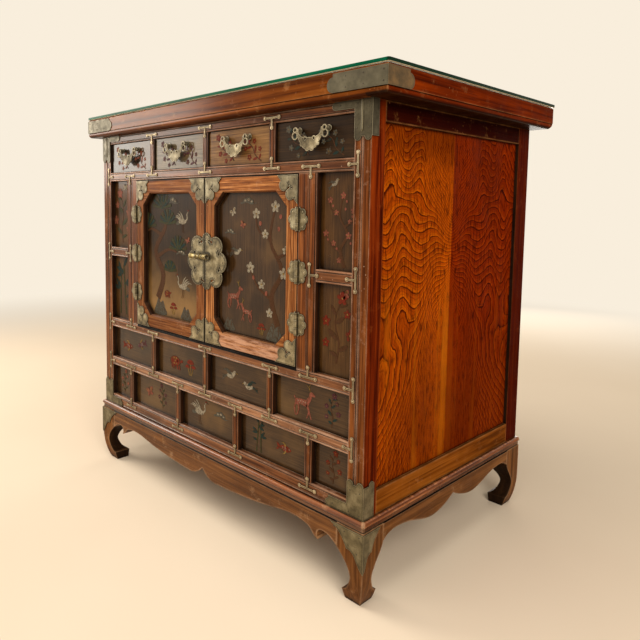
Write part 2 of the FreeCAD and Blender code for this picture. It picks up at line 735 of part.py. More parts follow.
def hinge_leaves(z):
    """The fixed leaf with its pin, and the leaf on the door with the middle knuckle."""
    plate = lobed_plate(X_DOOR, z, HINGE_R, HINGE_LOBE_R)
    y_axis = Y_FRONT - HINGE_AXIS_OUT
    half = HINGE_H / 2
    mid = HINGE_DOOR_KNUCKLE_H / 2
    reach = HINGE_R + PLATE_T
    z_low, z_high = z - reach, z + reach
    fixed = plate.common(box(X_DOOR + HINGE_LEAF_IN, X_DOOR + reach, Y_PLATE, Y_FRONT, z_low, z_high))
    moving = plate.common(box(X_DOOR - reach, X_DOOR - HINGE_LEAF_IN, Y_PLATE, Y_FRONT, z_low, z_high))

    def knuckle(z0, z1, radius):
        return Part.makeCylinder(radius, z1 - z0, Vector(X_DOOR, y_axis, z0), ALONG_Z)

    fixed_parts = [fixed, knuckle(z - half, z + half, HINGE_PIN_R)]
    for z0, z1 in ((z - half, z - mid - HINGE_KNUCKLE_GAP), (z + mid + HINGE_KNUCKLE_GAP, z + half)):
        fixed_parts.append(knuckle(z0, z1, HINGE_BARREL_R))
        fixed_parts.append(box(X_DOOR, X_DOOR + HINGE_LEAF_IN, Y_PLATE, Y_FRONT, z0, z1))
    web = box(X_DOOR - HINGE_LEAF_IN, X_DOOR - DOOR_GAP, Y_PLATE, Y_FRONT, z - mid, z + mid)
    bore = knuckle(z - half, z + half, HINGE_PIN_R + HINGE_PIN_FIT)
    moving_leaf = join([moving, web, knuckle(z - mid, z + mid, HINGE_BARREL_R)]).cut(bore)
    return join(fixed_parts), moving_leaf


z_hinges = [Z_LOCK - HINGE_PITCH, Z_LOCK, Z_LOCK + HINGE_PITCH]
hinge_pairs = [hinge_leaves(z) for z in z_hinges]


# Lock plate, staples and the sliding bar

y_bar = Y_PLATE - BAR_OUT - BAR_R
z_bar = Z_LOCK + BAR_UP


def bar_rod(x0, x1, radius):
    return Part.makeCylinder(radius, x1 - x0, Vector(x0, y_bar, z_bar), ALONG_X)


def staple(x0, width):
    """A round sleeve on a foot, for the bar to slide in."""
    half = STAPLE_FOOT_H / 2
    foot = box(x0, x0 + width, y_bar, Y_PLATE, z_bar - half, z_bar + half)
    sleeve = join([foot, bar_rod(x0, x0 + width, BAR_R + BAR_FIT + STAPLE_WALL)])
    return sleeve.cut(bar_rod(x0, x0 + width, BAR_R + BAR_FIT))


def lock_half(side):
    """Half of the lobed lock plate, pierced with comma slots."""
    whole = lobed_plate(LOCK_OFF, Z_LOCK, LOCK_R, LOCK_LOBE_R, (LOCK_CROWN_R, LOCK_CROWN_LOBE_R))
    reach = LOCK_R + LOCK_OFF
    near, far = sorted([side * x_door0, side * reach])
    slots = []
    for i in range(8):
        turn = FreeCAD.Rotation(ALONG_Y, 45 * i + 22.5)
        head = turn.multVec(Vector(LOCK_PIERCE_AT, 0, 0))
        slots.append(disc(LOCK_OFF + head.x, Z_LOCK + head.z, LOCK_PIERCE_R, Y_PLATE, Y_FRONT))
        tail = box(LOCK_PIERCE_AT - LOCK_PIERCE_R / 2, LOCK_PIERCE_AT + LOCK_PIERCE_R / 2,
                   Y_PLATE, Y_FRONT, 0, LOCK_PIERCE_L)
        tail.rotate(ORIGIN, ALONG_Y, 45 * i + 22.5)
        tail.translate(Vector(LOCK_OFF, 0, Z_LOCK))
        slots.append(tail)
    return whole.cut(slots).common(box(near, far, Y_PLATE, Y_FRONT, Z_LOCK - reach, Z_LOCK + reach))


lock_left = [join([lock_half(-1),
                   staple(-STAPLE_INNER_BACK - STAPLE_W, STAPLE_W),
                   staple(-STAPLE_OUTER_BACK - STAPLE_W, STAPLE_W)])]
lock_right = [join([lock_half(1), staple(KEEPER_AT, KEEPER_W)])]
x_knob = -BAR_TIP_BACK - BAR_L
knob = bar_rod(x_knob, x_knob + BAR_KNOB_L, BAR_KNOB_R)
latch_bar = join([bar_rod(x_knob + BAR_KNOB_L, -BAR_TIP_BACK, BAR_R),
                  knob.makeFillet(BAR_KNOB_ROUND, knob.Edges)])


# Nailed braces over the crossings of the front frame

def brace(x, z, turn):
    """A T of flat bar; unturned, its stem points down."""
    half = BRACE_BAR_L / 2 - BRACE_END_R
    stem = BRACE_STEM_L - BRACE_END_R
    w = BRACE_W / 2
    shape = join([
        box(-half, half, Y_PLATE, Y_FRONT, -w, w),
        box(-w, w, Y_PLATE, Y_FRONT, -stem, 0),
        disc(-half, 0, BRACE_END_R, Y_PLATE, Y_FRONT),
        disc(half, 0, BRACE_END_R, Y_PLATE, Y_FRONT),
        disc(0, -stem, BRACE_END_R, Y_PLATE, Y_FRONT),
    ])
    shape.rotate(ORIGIN, ALONG_Y, turn)
    shape.translate(Vector(x, 0, z))
    return shape


DOWN, UP, TO_LEFT, TO_RIGHT = 0, 180, 90, -90
z_top_mid = (Z_RAIL_TOP + Z_SLAB) / 2
z_drawer_mid = (Z_RAIL_DRAWER + Z_DRAWERS) / 2
z_sill_mid = (Z_SILL + Z_DOORS) / 2
z_lower_mid = (Z_RAIL_LOWER + Z_ROW_UPPER) / 2
z_bottom_mid = (STAND_H + Z_ROW_LOWER) / 2
z_cross_mid = Z_CROSS + CROSS_RAIL_H / 2
x_post_brace = X_POST + BRACE_POST_IN
x_mullion_brace = X_COLUMN - BRACE_MULLION_IN
mullion_x = [-x_mullion_brace, x_mullion_brace]
braces = []
for crossings, z, turn in (
    (drawer_divider_x, z_top_mid, DOWN),
    (drawer_divider_x, z_drawer_mid, UP),
    (mullion_x, z_drawer_mid, DOWN),
    (mullion_x, z_sill_mid, UP),
    (upper_divider_x, z_sill_mid, DOWN),
    (upper_divider_x, z_lower_mid, UP),
    (lower_divider_x, z_lower_mid, DOWN),
    (lower_divider_x, z_bottom_mid, UP),
    ([x_post_brace], z_drawer_mid, TO_LEFT),
    ([-x_post_brace], z_drawer_mid, TO_RIGHT),
    ([x_post_brace], z_cross_mid, TO_LEFT),
    ([-x_post_brace], z_cross_mid, TO_RIGHT),
    ([x_mullion_brace], z_cross_mid, TO_RIGHT),
    ([-x_mullion_brace], z_cross_mid, TO_LEFT),
    ([x_post_brace], z_sill_mid, TO_LEFT),
    ([-x_post_brace], z_sill_mid, TO_RIGHT),
    ([x_post_brace], z_lower_mid, TO_LEFT),
    ([-x_post_brace], z_lower_mid, TO_RIGHT),
):
    braces += [brace(x, z, turn) for x in crossings]


# Mounts that wrap the front corners

def top_bracket():
    x_side = HALF_W + PLATE_T
    x_arm = X_POST - TOP_BRACKET_ARM_L
    z_arm = Z_SLAB - TOP_BRACKET_ARM_H
    z_foot = Z_SLAB - TOP_BRACKET_DROP
    r = BRACKET_LOBE_R
    return join([
        box(x_arm, x_side, Y_PLATE, Y_FRONT, z_arm, Z_SLAB),
        box(X_POST, x_side, Y_PLATE, Y_FRONT, z_foot, Z_SLAB),
        disc(X_POST + r, z_foot, r, Y_PLATE, Y_FRONT),
        disc(HALF_W - r, z_foot, r, Y_PLATE, Y_FRONT),
        disc(x_arm, Z_SLAB - r, r, Y_PLATE, Y_FRONT),
        box(HALF_W, x_side, Y_PLATE, Y_FRONT + TOP_BRACKET_SIDE, z_foot, Z_SLAB),
    ])


def foot_bracket():
    x_side = HALF_W + PLATE_T
    x_arm = X_POST - FOOT_BRACKET_ARM_L
    z_arm = STAND_H + FOOT_BRACKET_ARM_H
    z_top = STAND_H + FOOT_BRACKET_RISE
    y_side = Y_FRONT + FOOT_BRACKET_SIDE
    r = BRACKET_LOBE_R
    side_lobe = Part.makeCylinder(r, PLATE_T, Vector(HALF_W, y_side - r, z_top), ALONG_X)
    return join([
        box(x_arm, x_side, Y_PLATE, Y_FRONT, STAND_H, z_arm),
        box(X_POST, x_side, Y_PLATE, Y_FRONT, STAND_H, z_top),
        disc(X_POST + r, z_top, r, Y_PLATE, Y_FRONT),
        disc(HALF_W - r, z_top, r, Y_PLATE, Y_FRONT),
        disc(x_arm, STAND_H + r, r, Y_PLATE, Y_FRONT),
        box(HALF_W, x_side, Y_PLATE, y_side, STAND_H, z_top),
        side_lobe,
    ])


def slab_mount():
    x1 = HALF_W + SLAB_SIDE_OUT
    y1 = Y_FRONT - SLAB_FRONT_OUT
    t = min(PLATE_T, GLASS_FRONT_OUT)
    z0 = Z_SLAB + SLAB_BEAD_H
    z1 = Z_GLASS - SLAB_MOUNT_TOP_GAP
    r = SLAB_MOUNT_LOBE_R
    z_lobe = z0 + r
    y_end = y1 + SLAB_MOUNT_SIDE_L
    return join([
        box(x1 - SLAB_MOUNT_FRONT_L, x1 + t, y1 - t, y1, z0, z1),
        disc(x1 - SLAB_MOUNT_FRONT_L, z_lobe, r, y1 - t, y1),
        box(x1, x1 + t, y1 - t, y_end, z0, z1),
        Part.makeCylinder(r, t, Vector(x1, y_end, z_lobe), ALONG_X),
    ])


def leg_mount():
    """Plate over the knee of a front leg, tapering to a point on its corner."""
    z1 = Z_WAIST - LEG_MOUNT_TOP_GAP
    z0 = z1 - LEG_MOUNT_H
    t = PLATE_T
    edge = X_STAND + t

    def outline(corner, inward, length):
        return [
            [(corner, z1), (corner + inward * length, z1)],
            [(corner + inward * length, z1), (corner + inward * length * 0.64, z1 - LEG_MOUNT_H * 0.27),
             (corner + inward * length * 0.5, z1 - LEG_MOUNT_H * 0.52)],
            [(corner + inward * length * 0.5, z1 - LEG_MOUNT_H * 0.52),
             (corner + inward * length * 0.31, z1 - LEG_MOUNT_H * 0.58),
             (corner + inward * length * 0.21, z1 - LEG_MOUNT_H * 0.72), (corner, z0)],
            [(corner, z0), (corner, z1)],
        ]

    front = prism(outline(edge, -1, LEG_MOUNT_FRONT_L), "front", Y_STAND_FRONT - t, Y_STAND_FRONT)
    side = prism(outline(Y_STAND_FRONT - t, 1, LEG_MOUNT_SIDE_L), "side", X_STAND, edge)
    return join([front, side])


# Waist moulding: four boards mitred round the top of the stand

def waist_boards():
    z_bead = STAND_H - WAIST_BEAD_H
    x1 = HALF_W + WAIST_OUT
    y0 = Y_FRONT - WAIST_OUT
    y1 = Y_STAND_BACK

    def edge(at, inward):
        top = (at + inward * WAIST_OUT / 2, STAND_H)
        nose = (at, STAND_H - WAIST_BEAD_H / 2)
        under = (at + inward * WAIST_FILLET_IN, z_bead)
        foot = (at + inward * WAIST_FILLET_IN, Z_WAIST)
        return [[foot, under], [under, nose, top]]

    def closed(first, second):
        back = [stroke[::-1] for stroke in second[::-1]]
        return first + [[first[-1][-1], back[0][0]]] + back + [[back[-1][-1], first[0][0]]]

    plain_back = [[(y1, Z_WAIST), (y1, STAND_H)]]
    lengthways = prism(closed(edge(y0, 1), plain_back), "side", -x1, x1)
    crossways = prism(closed(edge(-x1, 1), edge(x1, -1)), "front", y0, y1)
    w = WAIST_BOARD_W
    outer = [(-x1, y0), (x1, y0), (x1, y1), (-x1, y1)]
    inner = [(-x1 + w, y0 + w), (x1 - w, y0 + w), (x1 - w, y1 - w), (-x1 + w, y1 - w)]
    plate = lengthways.common(crossways)
    boards = []
    for i in range(4):
        j = (i + 1) % 4
        zone = polygon([outer[i], outer[j], inner[j], inner[i]], "plan", Z_WAIST, STAND_H)
        boards.append(plate.common(zone))
    return boards


# Legs and aprons

def leg_outline(corner, inward, knee_z, heel=FOOT_IN, toe=TOE_IN):
    """Side view of a leg: straight outer edge turning in at the foot, hollowed inner edge."""
    def at(inset, z):
        return corner + inward * inset, z

    shin = LEG_NECK_W + 1.5
    return [
        [at(0, Z_WAIST), at(LEG_BLOCK, Z_WAIST)],
        [at(LEG_BLOCK, Z_WAIST), at(LEG_BLOCK, knee_z)],
        [at(LEG_BLOCK, knee_z), at(LEG_NECK_W + 11, LEG_NECK_Z + 23), at(shin, LEG_NECK_Z + 7),
         at(LEG_NECK_W, LEG_NECK_Z), at(shin + 2, LEG_NECK_Z - 13), at((shin + toe) / 2, TOE_TOP_Z + 5),
         at(toe, TOE_TOP_Z)],
        [at(toe, TOE_TOP_Z), at(toe - TOE_BEVEL, 0)],
        [at(toe - TOE_BEVEL, 0), at(heel, 0)],
        [at(heel, 0), at(heel * 0.47, LEG_CURVE_Z * 0.3), at(heel * 0.12, LEG_CURVE_Z * 0.66),
         at(0, LEG_CURVE_Z)],
        [at(0, LEG_CURVE_Z), at(0, Z_WAIST)],
    ]


def front_leg():
    seen_front = prism(leg_outline(X_STAND, -1, LEG_KNEE_FRONT_Z), "front",
                       Y_STAND_FRONT, Y_STAND_FRONT + LEG_BLOCK)
    seen_side = prism(leg_outline(Y_STAND_FRONT, 1, LEG_KNEE_SIDE_Z), "side",
                      X_STAND - LEG_BLOCK, X_STAND)
    return seen_front.common(seen_side)


def back_leg():
    seen_front = prism(leg_outline(X_STAND, -1, BACK_APRON_Z), "front",
                       Y_STAND_BACK - LEG_BLOCK, Y_STAND_BACK)
    seen_side = prism(leg_outline(Y_STAND_BACK, -1, LEG_KNEE_SIDE_Z, HEEL_BACK_IN, TOE_BACK_IN),
                      "side", X_STAND - LEG_BLOCK, X_STAND)
    return seen_front.common(seen_side)


x_apron = X_STAND - LEG_BLOCK
y_apron0 = Y_STAND_FRONT + LEG_BLOCK
y_apron1 = Y_STAND_BACK - LEG_BLOCK
z_tenon1 = Z_WAIST - TENON_SHOULDER
z_tenon0 = z_tenon1 - APRON_TENON_H
tenon_in = (APRON_T - APRON_TENON_T) / 2


def cross_apron_tenons(y0):
    return [box(sign * x_apron - (sign < 0) * APRON_TENON_L, sign * x_apron + (sign > 0) * APRON_TENON_L,
                y0 + tenon_in, y0 + tenon_in + APRON_TENON_T, z_tenon0, z_tenon1) for sign in (-1, 1)]


def front_apron():
    """Scalloped board: a cusp in the middle, a long lobe each side and a spur near each leg."""
    spur = x_apron - SPUR_AT
    root = spur - SPUR_W
    dip = (APRON_ARCH_Z + APRON_LOBE_Z) / 2
    right = [
        [(0, APRON_ARCH_Z), (10, dip), (24, APRON_LOBE_Z + 2), (APRON_LOBE_AT, APRON_LOBE_Z)],
        [(APRON_LOBE_AT, APRON_LOBE_Z), (root * 0.42, APRON_LOBE_Z + 4), (root * 0.68, dip + 3),
         (root * 0.92, APRON_ARCH_Z + 1.5), (root, APRON_ARCH_Z - 2)],
        [(root, APRON_ARCH_Z - 2), (spur - 13, dip - 1), (spur - 6, SPUR_Z + 2), (spur, SPUR_Z)],
        [(spur, SPUR_Z), (spur - 3, dip), (spur + 4, APRON_ARCH_Z - 1)],
        [(spur + 4, APRON_ARCH_Z - 1), (spur + 16, APRON_ARCH_Z - 1), (x_apron - 11, LEG_KNEE_FRONT_Z + 8),
         (x_apron, LEG_KNEE_FRONT_Z)],
    ]
    left = [[(-a, b) for a, b in stroke[::-1]] for stroke in right[::-1]]
    ends = [
        [(x_apron, LEG_KNEE_FRONT_Z), (x_apron, Z_WAIST)],
        [(x_apron, Z_WAIST), (-x_apron, Z_WAIST)],
        [(-x_apron, Z_WAIST), (-x_apron, LEG_KNEE_FRONT_Z)],
    ]
    body = prism(left + right + ends, "front", Y_STAND_FRONT, Y_STAND_FRONT + APRON_T)
    tenons = cross_apron_tenons(Y_STAND_FRONT)
    return join([body] + tenons), tenons


def side_apron():
    """Scalloped board: two broad lobes that meet in a raised notch."""
    half = (y_apron1 - y_apron0) / 2
    rise = SIDE_ARCH_Z - SIDE_LOBE_Z
    fore = [
        [(y_apron0, LEG_KNEE_SIDE_Z), (y_apron0 + 21, SIDE_ARCH_Z - 0.5), (y_apron0 + 44, SIDE_ARCH_Z),
         (y_apron0 + half * 0.36, SIDE_ARCH_Z - 0.24 * rise), (y_apron0 + half * 0.66, SIDE_LOBE_Z),
         (Y_STAND_MID - 28, SIDE_LOBE_Z + 0.36 * rise), (Y_STAND_MID, SIDE_ARCH_Z)],
    ]
    aft = [[(2 * Y_STAND_MID - a, b) for a, b in stroke[::-1]] for stroke in fore[::-1]]
    ends = [
        [(y_apron1, LEG_KNEE_SIDE_Z), (y_apron1, Z_WAIST)],
        [(y_apron1, Z_WAIST), (y_apron0, Z_WAIST)],
        [(y_apron0, Z_WAIST), (y_apron0, LEG_KNEE_SIDE_Z)],
    ]
    body = prism(fore + aft + ends, "side", X_STAND - APRON_T, X_STAND)
    xt = X_STAND - APRON_T + tenon_in
    tenons = [box(xt, xt + APRON_TENON_T, y_apron0 - APRON_TENON_L, y_apron0, z_tenon0, z_tenon1),
              box(xt, xt + APRON_TENON_T, y_apron1, y_apron1 + APRON_TENON_L, z_tenon0, z_tenon1)]
    return join([body] + tenons), tenons


def back_apron():
    y0 = Y_STAND_BACK - APRON_T
    tenons = cross_apron_tenons(y0)
    return join([box(-x_apron, x_apron, y0, Y_STAND_BACK, BACK_APRON_Z, Z_WAIST)] + tenons), tenons


apron_front, front_tenons = front_apron()
apron_side, side_tenons = side_apron()
apron_back, back_tenons = back_apron()
apron_tenons = front_tenons + side_tenons + back_tenons


# Gather every piece under its node name

frame_panel, panel_in_door = door_frame()
ornaments = [corner_ornament(x, z, dx, dz)
             for x, dx in ((x_door0, 1), (x_door1, -1))
             for z, dz in ((z_door0, 1), (z_door1, -1))]
door_fittings = ornaments + [moving for _, moving in hinge_pairs]
corner_brackets = [top_bracket(), foot_bracket()]

nodes = {
    "glass_top": [glass()],
    "top_slab": [slab()],
    "posts_front": both_sides(seated(posts_right[0], post_seats)),
    "posts_back": both_sides(seated(posts_right[1], post_seats)),
    "drawer_dividers": framed(drawer_dividers),
    "mullions": [mullion_with_mortises(bar) for bar in mullions],
    "cross_rails": framed(cross_rails),
    "row_dividers": framed(upper_dividers + lower_dividers),
    "column_panels": column_panels,
    "row_panels": row_panels,
    "side_rails": [part for body, _ in right_side_rails for part in both_sides(seated(body, side_panels))],
    "side_panels": side_panels,
    "back_rails": [seated(body, [back_panel]) for body, _ in back_rails],
    "back_panel": [back_panel],
    "bottom_board": [bottom_board],
    "dust_board": [dust_board],
    "drawer_guides": drawer_guides,
    "shelf": [shelf],
    "battens": battens,
    "door_frame_left": [mirrored(frame_panel)],
    "door_frame_right": [frame_panel],
    "door_panel_left": [mirrored(panel_in_door)],
    "door_panel_right": [panel_in_door],
    "door_mounts_left": [mirrored(shape) for shape in door_fittings],
    "door_mounts_right": door_fittings,
    "lock_plate_left": lock_left,
    "lock_plate_right": lock_right,
    "latch_bar": [latch_bar],
    "hinge_leaves": [leaf for fixed, _ in hinge_pairs for leaf in both_sides(fixed)],
    "t_braces": braces,
    "slab_mounts": both_sides(slab_mount()),
    "post_brackets": [part for shape in corner_brackets for part in both_sides(shape)],
    "leg_mounts": both_sides(leg_mount()),
    "waist_moulding": waist_boards(),
    "legs_front": both_sides(seated(front_leg(), apron_tenons)),
    "legs_back": both_sides(seated(back_leg(), apron_tenons)),
    "apron_front": [apron_front],
    "apron_sides": both_sides(apron_side),
    "apron_back": [apron_back],
}
for name in rails:
    nodes[name] = [rail_with_mortises(name)]
for i, x in enumerate(drawer_x, start=1):
    nodes[f"drawer_front_{i}"] = [drawer_front(x)]
    nodes[f"drawer_box_{i}"] = drawer_box(x)
    nodes[f"pull_posts_{i}"] = [pull_post(x - PULL_SPREAD / 2), pull_post(x + PULL_SPREAD / 2)]
    nodes[f"pull_{i}"] = [pull_bail(x)]

os.makedirs("parts", exist_ok=True)
for name, shapes in nodes.items():
    solids = [solid for shape in shapes for solid in shape.Solids]
    piece = solids[0] if len(solids) == 1 else Part.makeCompound(solids)
    piece.exportStep(f"parts/{name}.step")
print(len(nodes), "nodes written")
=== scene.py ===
# The looks of a two-door scholar's cabinet with four drawers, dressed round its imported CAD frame.
from functools import partialmethod
from math import cos, hypot, pi, radians, sin

import bmesh
import bpy
from mathutils import Matrix, Vector

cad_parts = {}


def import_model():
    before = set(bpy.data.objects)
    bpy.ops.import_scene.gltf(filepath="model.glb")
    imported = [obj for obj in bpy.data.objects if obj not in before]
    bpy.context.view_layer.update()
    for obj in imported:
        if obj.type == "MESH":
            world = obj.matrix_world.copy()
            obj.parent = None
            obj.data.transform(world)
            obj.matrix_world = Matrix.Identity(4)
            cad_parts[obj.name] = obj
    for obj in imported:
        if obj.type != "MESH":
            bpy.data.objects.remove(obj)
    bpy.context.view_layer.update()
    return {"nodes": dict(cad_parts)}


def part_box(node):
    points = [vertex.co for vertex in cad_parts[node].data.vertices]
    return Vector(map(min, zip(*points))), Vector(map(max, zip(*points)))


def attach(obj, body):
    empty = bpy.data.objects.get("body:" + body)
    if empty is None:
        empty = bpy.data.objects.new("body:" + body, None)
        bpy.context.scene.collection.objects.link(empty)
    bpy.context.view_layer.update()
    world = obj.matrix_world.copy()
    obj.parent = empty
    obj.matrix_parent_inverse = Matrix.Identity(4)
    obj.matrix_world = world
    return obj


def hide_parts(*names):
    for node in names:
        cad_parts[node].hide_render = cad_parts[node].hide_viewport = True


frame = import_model()
nodes = frame["nodes"]


def middle(node, axis):
    low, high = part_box(node)
    return (low[axis] + high[axis]) / 2


def half(node, axis):
    low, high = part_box(node)
    return (high[axis] - low[axis]) / 2


# The camera, and places on the cabinet, in metres in the CAD frame
CAMERA_AT = (0.90495, -0.94393, 0.59941)
CAMERA_RIGHT = Vector((0.6852, 0.7283, 0.0098))
CAMERA_UP = Vector((-0.0711, 0.0535, 0.996))
CAMERA_LENS = 34.2
CAMERA_SHIFT = (0.0828, -0.0939)
FACE_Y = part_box("post_brackets")[0][1]
BAY_PANEL_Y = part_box("column_panels")[0][1]
DOOR_PANEL_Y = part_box("door_panel_right")[0][1]
DRAWER_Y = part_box("drawer_front_1")[0][1]
DRAWER_Z = middle("drawer_front_1", 2)
DOOR_MID_X = middle("door_frame_right", 0)
DOOR_MID_Z = middle("door_frame_right", 2)
DOOR_HALF_X = half("door_frame_right", 0)
DOOR_HALF_Z = half("door_frame_right", 2)
DOOR_OPEN_HALF = 0.09095
DOOR_RAIL = 0.028
WAIST_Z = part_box("waist_moulding")[0][2]
SILL_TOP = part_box("rail_sill")[1][2]
POST_SIDE_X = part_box("posts_front")[1][0] - 0.0008
WHITE = (1, 1, 1, 1)


def srgb(*values):
    """A colour given as display values from 0 to 255, as the linear colour that shaders take."""
    shares = [value / 255 for value in values]
    return (*[s / 12.92 if s <= 0.04045 else ((s + 0.055) / 1.055) ** 2.4 for s in shares], 1.0)


def tints(*tones):
    """Tones of one finish, from dark to light."""
    return [srgb(*tone) for tone in tones]


class Graph:
    """A new material's node tree, with short calls that add a node and join its inputs."""

    def __init__(self, name):
        self.material = bpy.data.materials.new(name)
        self.material.use_nodes = True
        self.tree = self.material.node_tree
        self.shader = self.tree.nodes["Principled BSDF"]

    def feed(self, socket, value):
        if isinstance(value, bpy.types.NodeSocket):
            self.tree.links.new(value, socket)
        else:
            socket.default_value = value

    def add(self, kind, inputs, **settings):
        node = self.tree.nodes.new("ShaderNode" + kind)
        for key, value in settings.items():
            setattr(node, key, value)
        for key, value in inputs.items():
            self.feed(node.inputs[key], value)
        return node

    def finish(self, **inputs):
        self.feed(self.shader.inputs["Base Color"], self.colour)
        for key, value in inputs.items():
            self.feed(self.shader.inputs[key.replace("_", " ")], value)
        return self.material

    def place(self):
        return self.add("TexCoord", {}).outputs["Object"]

    def parts(self, vector):
        return self.add("SeparateXYZ", {0: vector}).outputs[:]

    def at(self, axis):
        """The place along one axis: 0 for x, 1 for y, 2 for z."""
        return self.parts(self.place())[axis]

    def facing(self):
        """The parts of the way a face looks, in the piece's own axes, so that they turn with a door."""
        return self.parts(self.add("TexCoord", {}).outputs["Normal"])

    def vector(self, x, y, z):
        return self.add("CombineXYZ", {0: x, 1: y, 2: z}).outputs[0]

    def times(self, vector, scale):
        return self.add("VectorMath", {0: vector, 1: scale}, operation="MULTIPLY").outputs[0]

    def math(self, operation, a, b=0, c=0):
        return self.add("Math", {0: a, 1: b, 2: c}, operation=operation).outputs[0]

    product = partialmethod(math, "MULTIPLY")
    minus = partialmethod(math, "SUBTRACT")
    size = partialmethod(math, "ABSOLUTE")
    larger = partialmethod(math, "MAXIMUM")
    over = partialmethod(math, "GREATER_THAN")

    def noise(self, vector, scale=1, detail=4, roughness=0.55, distortion=0):
        inputs = {"Vector": vector, "Scale": scale, "Detail": detail, "Roughness": roughness,
                  "Distortion": distortion}
        return self.add("TexNoise", inputs).outputs[0]

    def sway(self, vector, scale, detail, most, roughness=0.55):
        """Noise about zero."""
        return self.product(self.minus(self.noise(vector, scale, detail, roughness), 0.5), most)

    def cells(self, vector, scale):
        return self.add("TexVoronoi", {"Vector": vector, "Scale": scale}).outputs["Distance"]

    def span(self, value, low, high, top=1, bottom=0):
        inputs = {"Value": value, "From Min": low, "From Max": high, "To Min": bottom, "To Max": top}
        return self.add("MapRange", inputs, interpolation_type="SMOOTHSTEP").outputs[0]

    def ramp(self, value, *stops):
        node = self.add("ValToRGB", {"Fac": value})
        elements = node.color_ramp.elements
        while len(elements) < len(stops):
            elements.new(0.5)
        for element, (position, colour) in zip(elements, stops):
            element.position = position
            element.color = colour
        return node.outputs["Color"]

    def mix(self, share, a, b, blend="MIX"):
        return self.add("Mix", {0: share, 6: a, 7: b}, data_type="RGBA", blend_type=blend).outputs[2]

    def lay(self, share, tone, blend="MIX"):
        """Lays a tone over the colour so far."""
        self.colour = self.mix(share, self.colour, tone, blend)

    def shade(self, level):
        self.lay(1, self.vector(level, level, level), "MULTIPLY")

    def rounded(self, radius):
        return self.add("Bevel", {"Radius": radius}, samples=6).outputs["Normal"]

    def edges(self, reach):
        """1 on edges and beads that stand out, 0 on flats and in corners."""
        behind = self.add("AmbientOcclusion", {"Distance": reach}, samples=8, inside=True, only_local=True)
        return self.span(behind.outputs["AO"], 0.93, 0.62)

    def openness(self, distance, alone=False):
        """1 in the open, less in corners; alone leaves out what other pieces hide."""
        return self.add("AmbientOcclusion", {"Distance": distance}, samples=8, only_local=alone).outputs["AO"]

    def bump(self, height, strength, distance, normal):
        inputs = {"Height": height, "Strength": strength, "Distance": distance, "Normal": normal}
        return self.add("Bump", inputs).outputs["Normal"]


# Wood: streaks and pores along the grain, painted shade in the corners, wear and painted highlight along
# edges
GRAIN = {"x": (4, 140, 140), "y": (140, 4, 140), "z": (140, 140, 4)}
PORE = (9, 5, 5)
SHADE_AND_DIRT = srgb(14, 8, 5)
COAT_ROUGH = 0.16
WOOD_ROUND = 0.0016
WOOD_RELIEF = 0.0006
WEAR_REACH = 0.0035
QUIRK_REACH = 0.005


def aged(g, height, worn, wear, rough, shine=0.05, grime_and_shade=0.7, reach=0.016, alone=False, coat=0, dirt_and_shade=0):
    """Finishes a wood: painted shade in the corners, wear and painted highlight on the edges, chips,
    a dark tone for joint lines and painted shade, gloss and a low relief.
    """
    place = g.place()
    normal = g.rounded(WOOD_ROUND)
    # Painted shade: darker in corners and quirks, the less open a point is
    corner_shade = g.span(g.openness(reach, alone), 0.25, 0.85, 1, 1 - grime_and_shade)
    quirk_shade = g.span(g.openness(QUIRK_REACH, alone), 0.42, 0.97, 1, 0.75 - grime_and_shade)
    g.shade(g.product(corner_shade, quirk_shade))
    rubbed = g.span(g.noise(place, 24, 6, 0.7), 0.35, 0.75, 1, 0.25)
    # Wear along edges and beads, which also serves as a painted highlight there; chips and scuffs are wear
    edge = g.product(g.edges(WEAR_REACH), g.product(rubbed, wear))
    chips = g.product(g.span(g.cells(place, 130), 0.16, 0.05), g.span(g.noise(place, 14), 0.56, 0.66))
    scuffs = g.span(g.noise(place, 34, 8, 0.75), 0.55, 0.7, 0.5)
    bare = g.larger(edge, g.product(g.larger(chips, scuffs), wear))
    g.lay(bare, worn)
    # A dark tone for joint lines and for painted shade, where a piece asks for it
    g.lay(dirt_and_shade, SHADE_AND_DIRT)
    gloss = g.span(g.noise(place, 26, 3), 0.3, 0.7, rough + 0.1, rough - 0.08)
    return g.finish(Roughness=gloss, Specular_IOR_Level=shine, Coat_Weight=coat, Coat_Normal=normal,
                    Coat_Roughness=COAT_ROUGH, Normal=g.bump(height, 0.35, WOOD_RELIEF, normal))


def streaks(g, vector, tones):
    """Gives a grain's colour to the graph, and its relief, from a place stretched along the grain."""
    figure = g.noise(vector, 1, 6, 0.62, 0.5)
    pores = g.noise(g.times(vector, PORE), 1, 2, 0.5)
    dark, mid, light = tones
    g.colour = g.ramp(figure, (0.37, dark), (0.5, mid), (0.64, light))
    g.lay(g.span(g.noise(g.place(), 7, 3), 0.35, 0.7, 0.5), dark)
    g.lay(g.span(pores, 0.58, 0.7, 0.5), dark)
    return g.minus(figure, g.span(pores, 0.58, 0.7))


def reveal_shade(g):
    """Painted shade on faces that look left and right."""
    return g.span(g.size(g.facing()[0]), 0.3, 0.8, 0.85)


def inner_face_shade(g):
    """Painted shade on faces that look to the middle of the cabinet."""
    share = 0
    for way, at in list(zip(g.facing(), g.parts(g.place())))[:2]:
        share = g.larger(share, g.span(g.product(way, g.math("SIGN", at)), -0.1, -0.6, 0.9))
    return share


def waist_joint(g):
    """A dark line where the waist moulding sits on the apron."""
    return g.span(g.size(g.minus(g.at(2), WAIST_Z)), 0.0016, 0.0008)


def waist_hollow(g):
    """The joint line, and the shade of the hollow above it."""
    return g.larger(waist_joint(g), g.span(g.at(2), WAIST_Z + 0.0105, WAIST_Z + 0.006, 0.55))


